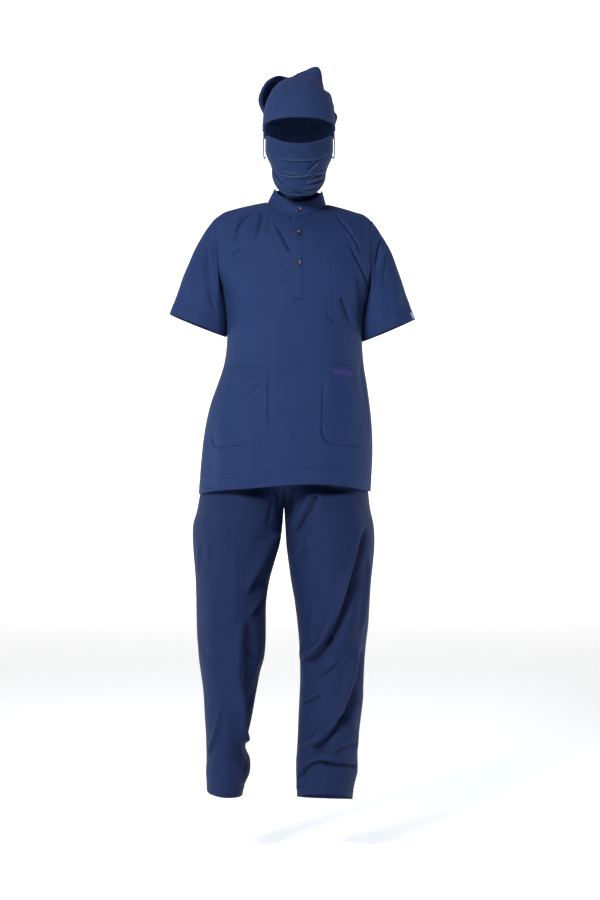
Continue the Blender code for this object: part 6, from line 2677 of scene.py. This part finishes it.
# ---- studio ------------------------------------------------------------------------------
@dataclass
class Studio:
    """Camera, soft light, white sweep and pale floor.

    Attributes:
        eye: Place of the camera, which looks along +Y.
        lens: Its lens in millimetres on a sensor 36 mm high.
        floor: Height of the floor.
        sky: Colour of the rim lamps.
        ambient: Strength of the light from all round.
    """
    eye: tuple[float, float, float] = (0.0022, -4.5, -0.5434)
    lens: float = 81.82
    floor: float = -1.434
    sky: tuple[float, float, float] = (0.72, 0.84, 1.0)
    ambient: float = 0.07

    def build(self) -> None:
        """Makes all of it."""
        data = bpy.data.cameras.new("camera")
        data.sensor_fit = "VERTICAL"
        data.sensor_height = 36.0
        data.lens = self.lens
        camera = placed("camera", data)
        camera.location = self.eye
        camera.rotation_euler = (pi / 2, 0, 0)
        bpy.context.scene.camera = camera
        self.lamp("key", (-1.8, -3.35, 1.5), 1.1, 200)
        self.lamp("fill", (1.9, -3.8, 0.6), 1.8, 18)
        self.lamp("top", (-0.3, 0.3, 2.9), 1.6, 22)
        self.lamp("rim left", (-2.5, 0.9, -0.5), 1.2, 34, self.sky)
        self.lamp("rim right", (2.5, 0.9, -0.5), 1.2, 44, self.sky)
        self.sweep()
        world = bpy.data.worlds.new("studio")
        world.use_nodes = True
        background = world.node_tree.nodes["Background"]
        background.inputs["Color"].default_value = (1.0, 1.0, 1.0, 1.0)
        background.inputs["Strength"].default_value = self.ambient
        bpy.context.scene.world = world
        bpy.context.scene.view_settings.view_transform = "Standard"

    def lamp(self, name: str, place: tuple[float, float, float], size: float, power: float,
             colour: tuple[float, float, float] = (1.0, 1.0, 1.0)) -> None:
        """A square soft box aimed at the middle of the garment.

        Args:
            name: Its name.
            place: Its place.
            size: Its width.
            power: Its power in watts.
            colour: Its colour.
        """
        data = bpy.data.lights.new(name, "AREA")
        data.color = colour
        data.energy = power
        data.size = size
        lamp = placed(name, data)
        lamp.location = place
        aim = Vector((0, 0, -0.55)) - Vector(place)
        lamp.rotation_euler = aim.to_track_quat("-Z", "Y").to_euler()

    def sweep(self) -> None:
        """The floor and the backdrop behind it."""
        for name, corners, glow in (
                ("floor", ((-7, -7, 0), (7, -7, 0), (7, 7.5, 0), (-7, 7.5, 0)), 0.42),
                ("backdrop", ((-7, 7.5, -0.01), (7, 7.5, -0.01), (7, 7.5, 8), (-7, 7.5, 8)), 1.0)):
            mesh = bpy.data.meshes.new(name)
            mesh.from_pydata([(x, y, self.floor + z) for x, y, z in corners], [], [(0, 1, 2, 3)])
            paper = Graph(name + "_paper").dress(
                Base_Color=(0.80, 0.80, 0.80, 1), Roughness=0.9, Emission_Color=(1, 1, 1, 1),
                Emission_Strength=glow)
            mesh.materials.append(paper)
            placed(name, mesh)


def main() -> None:
    """Builds the set, sub-assembly by sub-assembly, then the studio."""
    logging.basicConfig(level=logging.INFO, format="%(name)s: %(message)s")
    tunic = StitchBook("tunic_stitching")
    TunicBody().build(tunic)
    sleeves = {name: TunicSleeve(name, *parts) for name, parts in SLEEVES.items()}
    for sleeve in sleeves.values():
        sleeve.build(tunic)
    collar = Collar()
    collar.build(tunic)
    patches = FrontPatches()
    patches.build(tunic)
    patches.sleeve_tag(sleeves["sleeve_left"], tunic)
    ButtonSet().build(tunic, collar)
    tunic.make()
    trousers = StitchBook("trouser_stitching")
    for number, (leg, facing) in enumerate((leg, facing) for leg in LEGS for facing in Facing):
        columns, rows = (80, 290) if facing is Facing.FRONT else (50, 220)
        slack = Ripple(40 + number, 0.0010, 0.04, 0.14, 1.8)
        TrouserPanel(leg, facing, slack, columns, rows).build(trousers)
    Waistband().build()
    trousers.make()
    head = StitchBook("headwear_stitching", 0.0020, 0.0026, 0.00022)
    Cap().build(head)
    Mask().build(head)
    for side in Side:
        EarLoop(side).build()
    head.make()
    Studio().build()


if __name__ == "__main__":
    main()
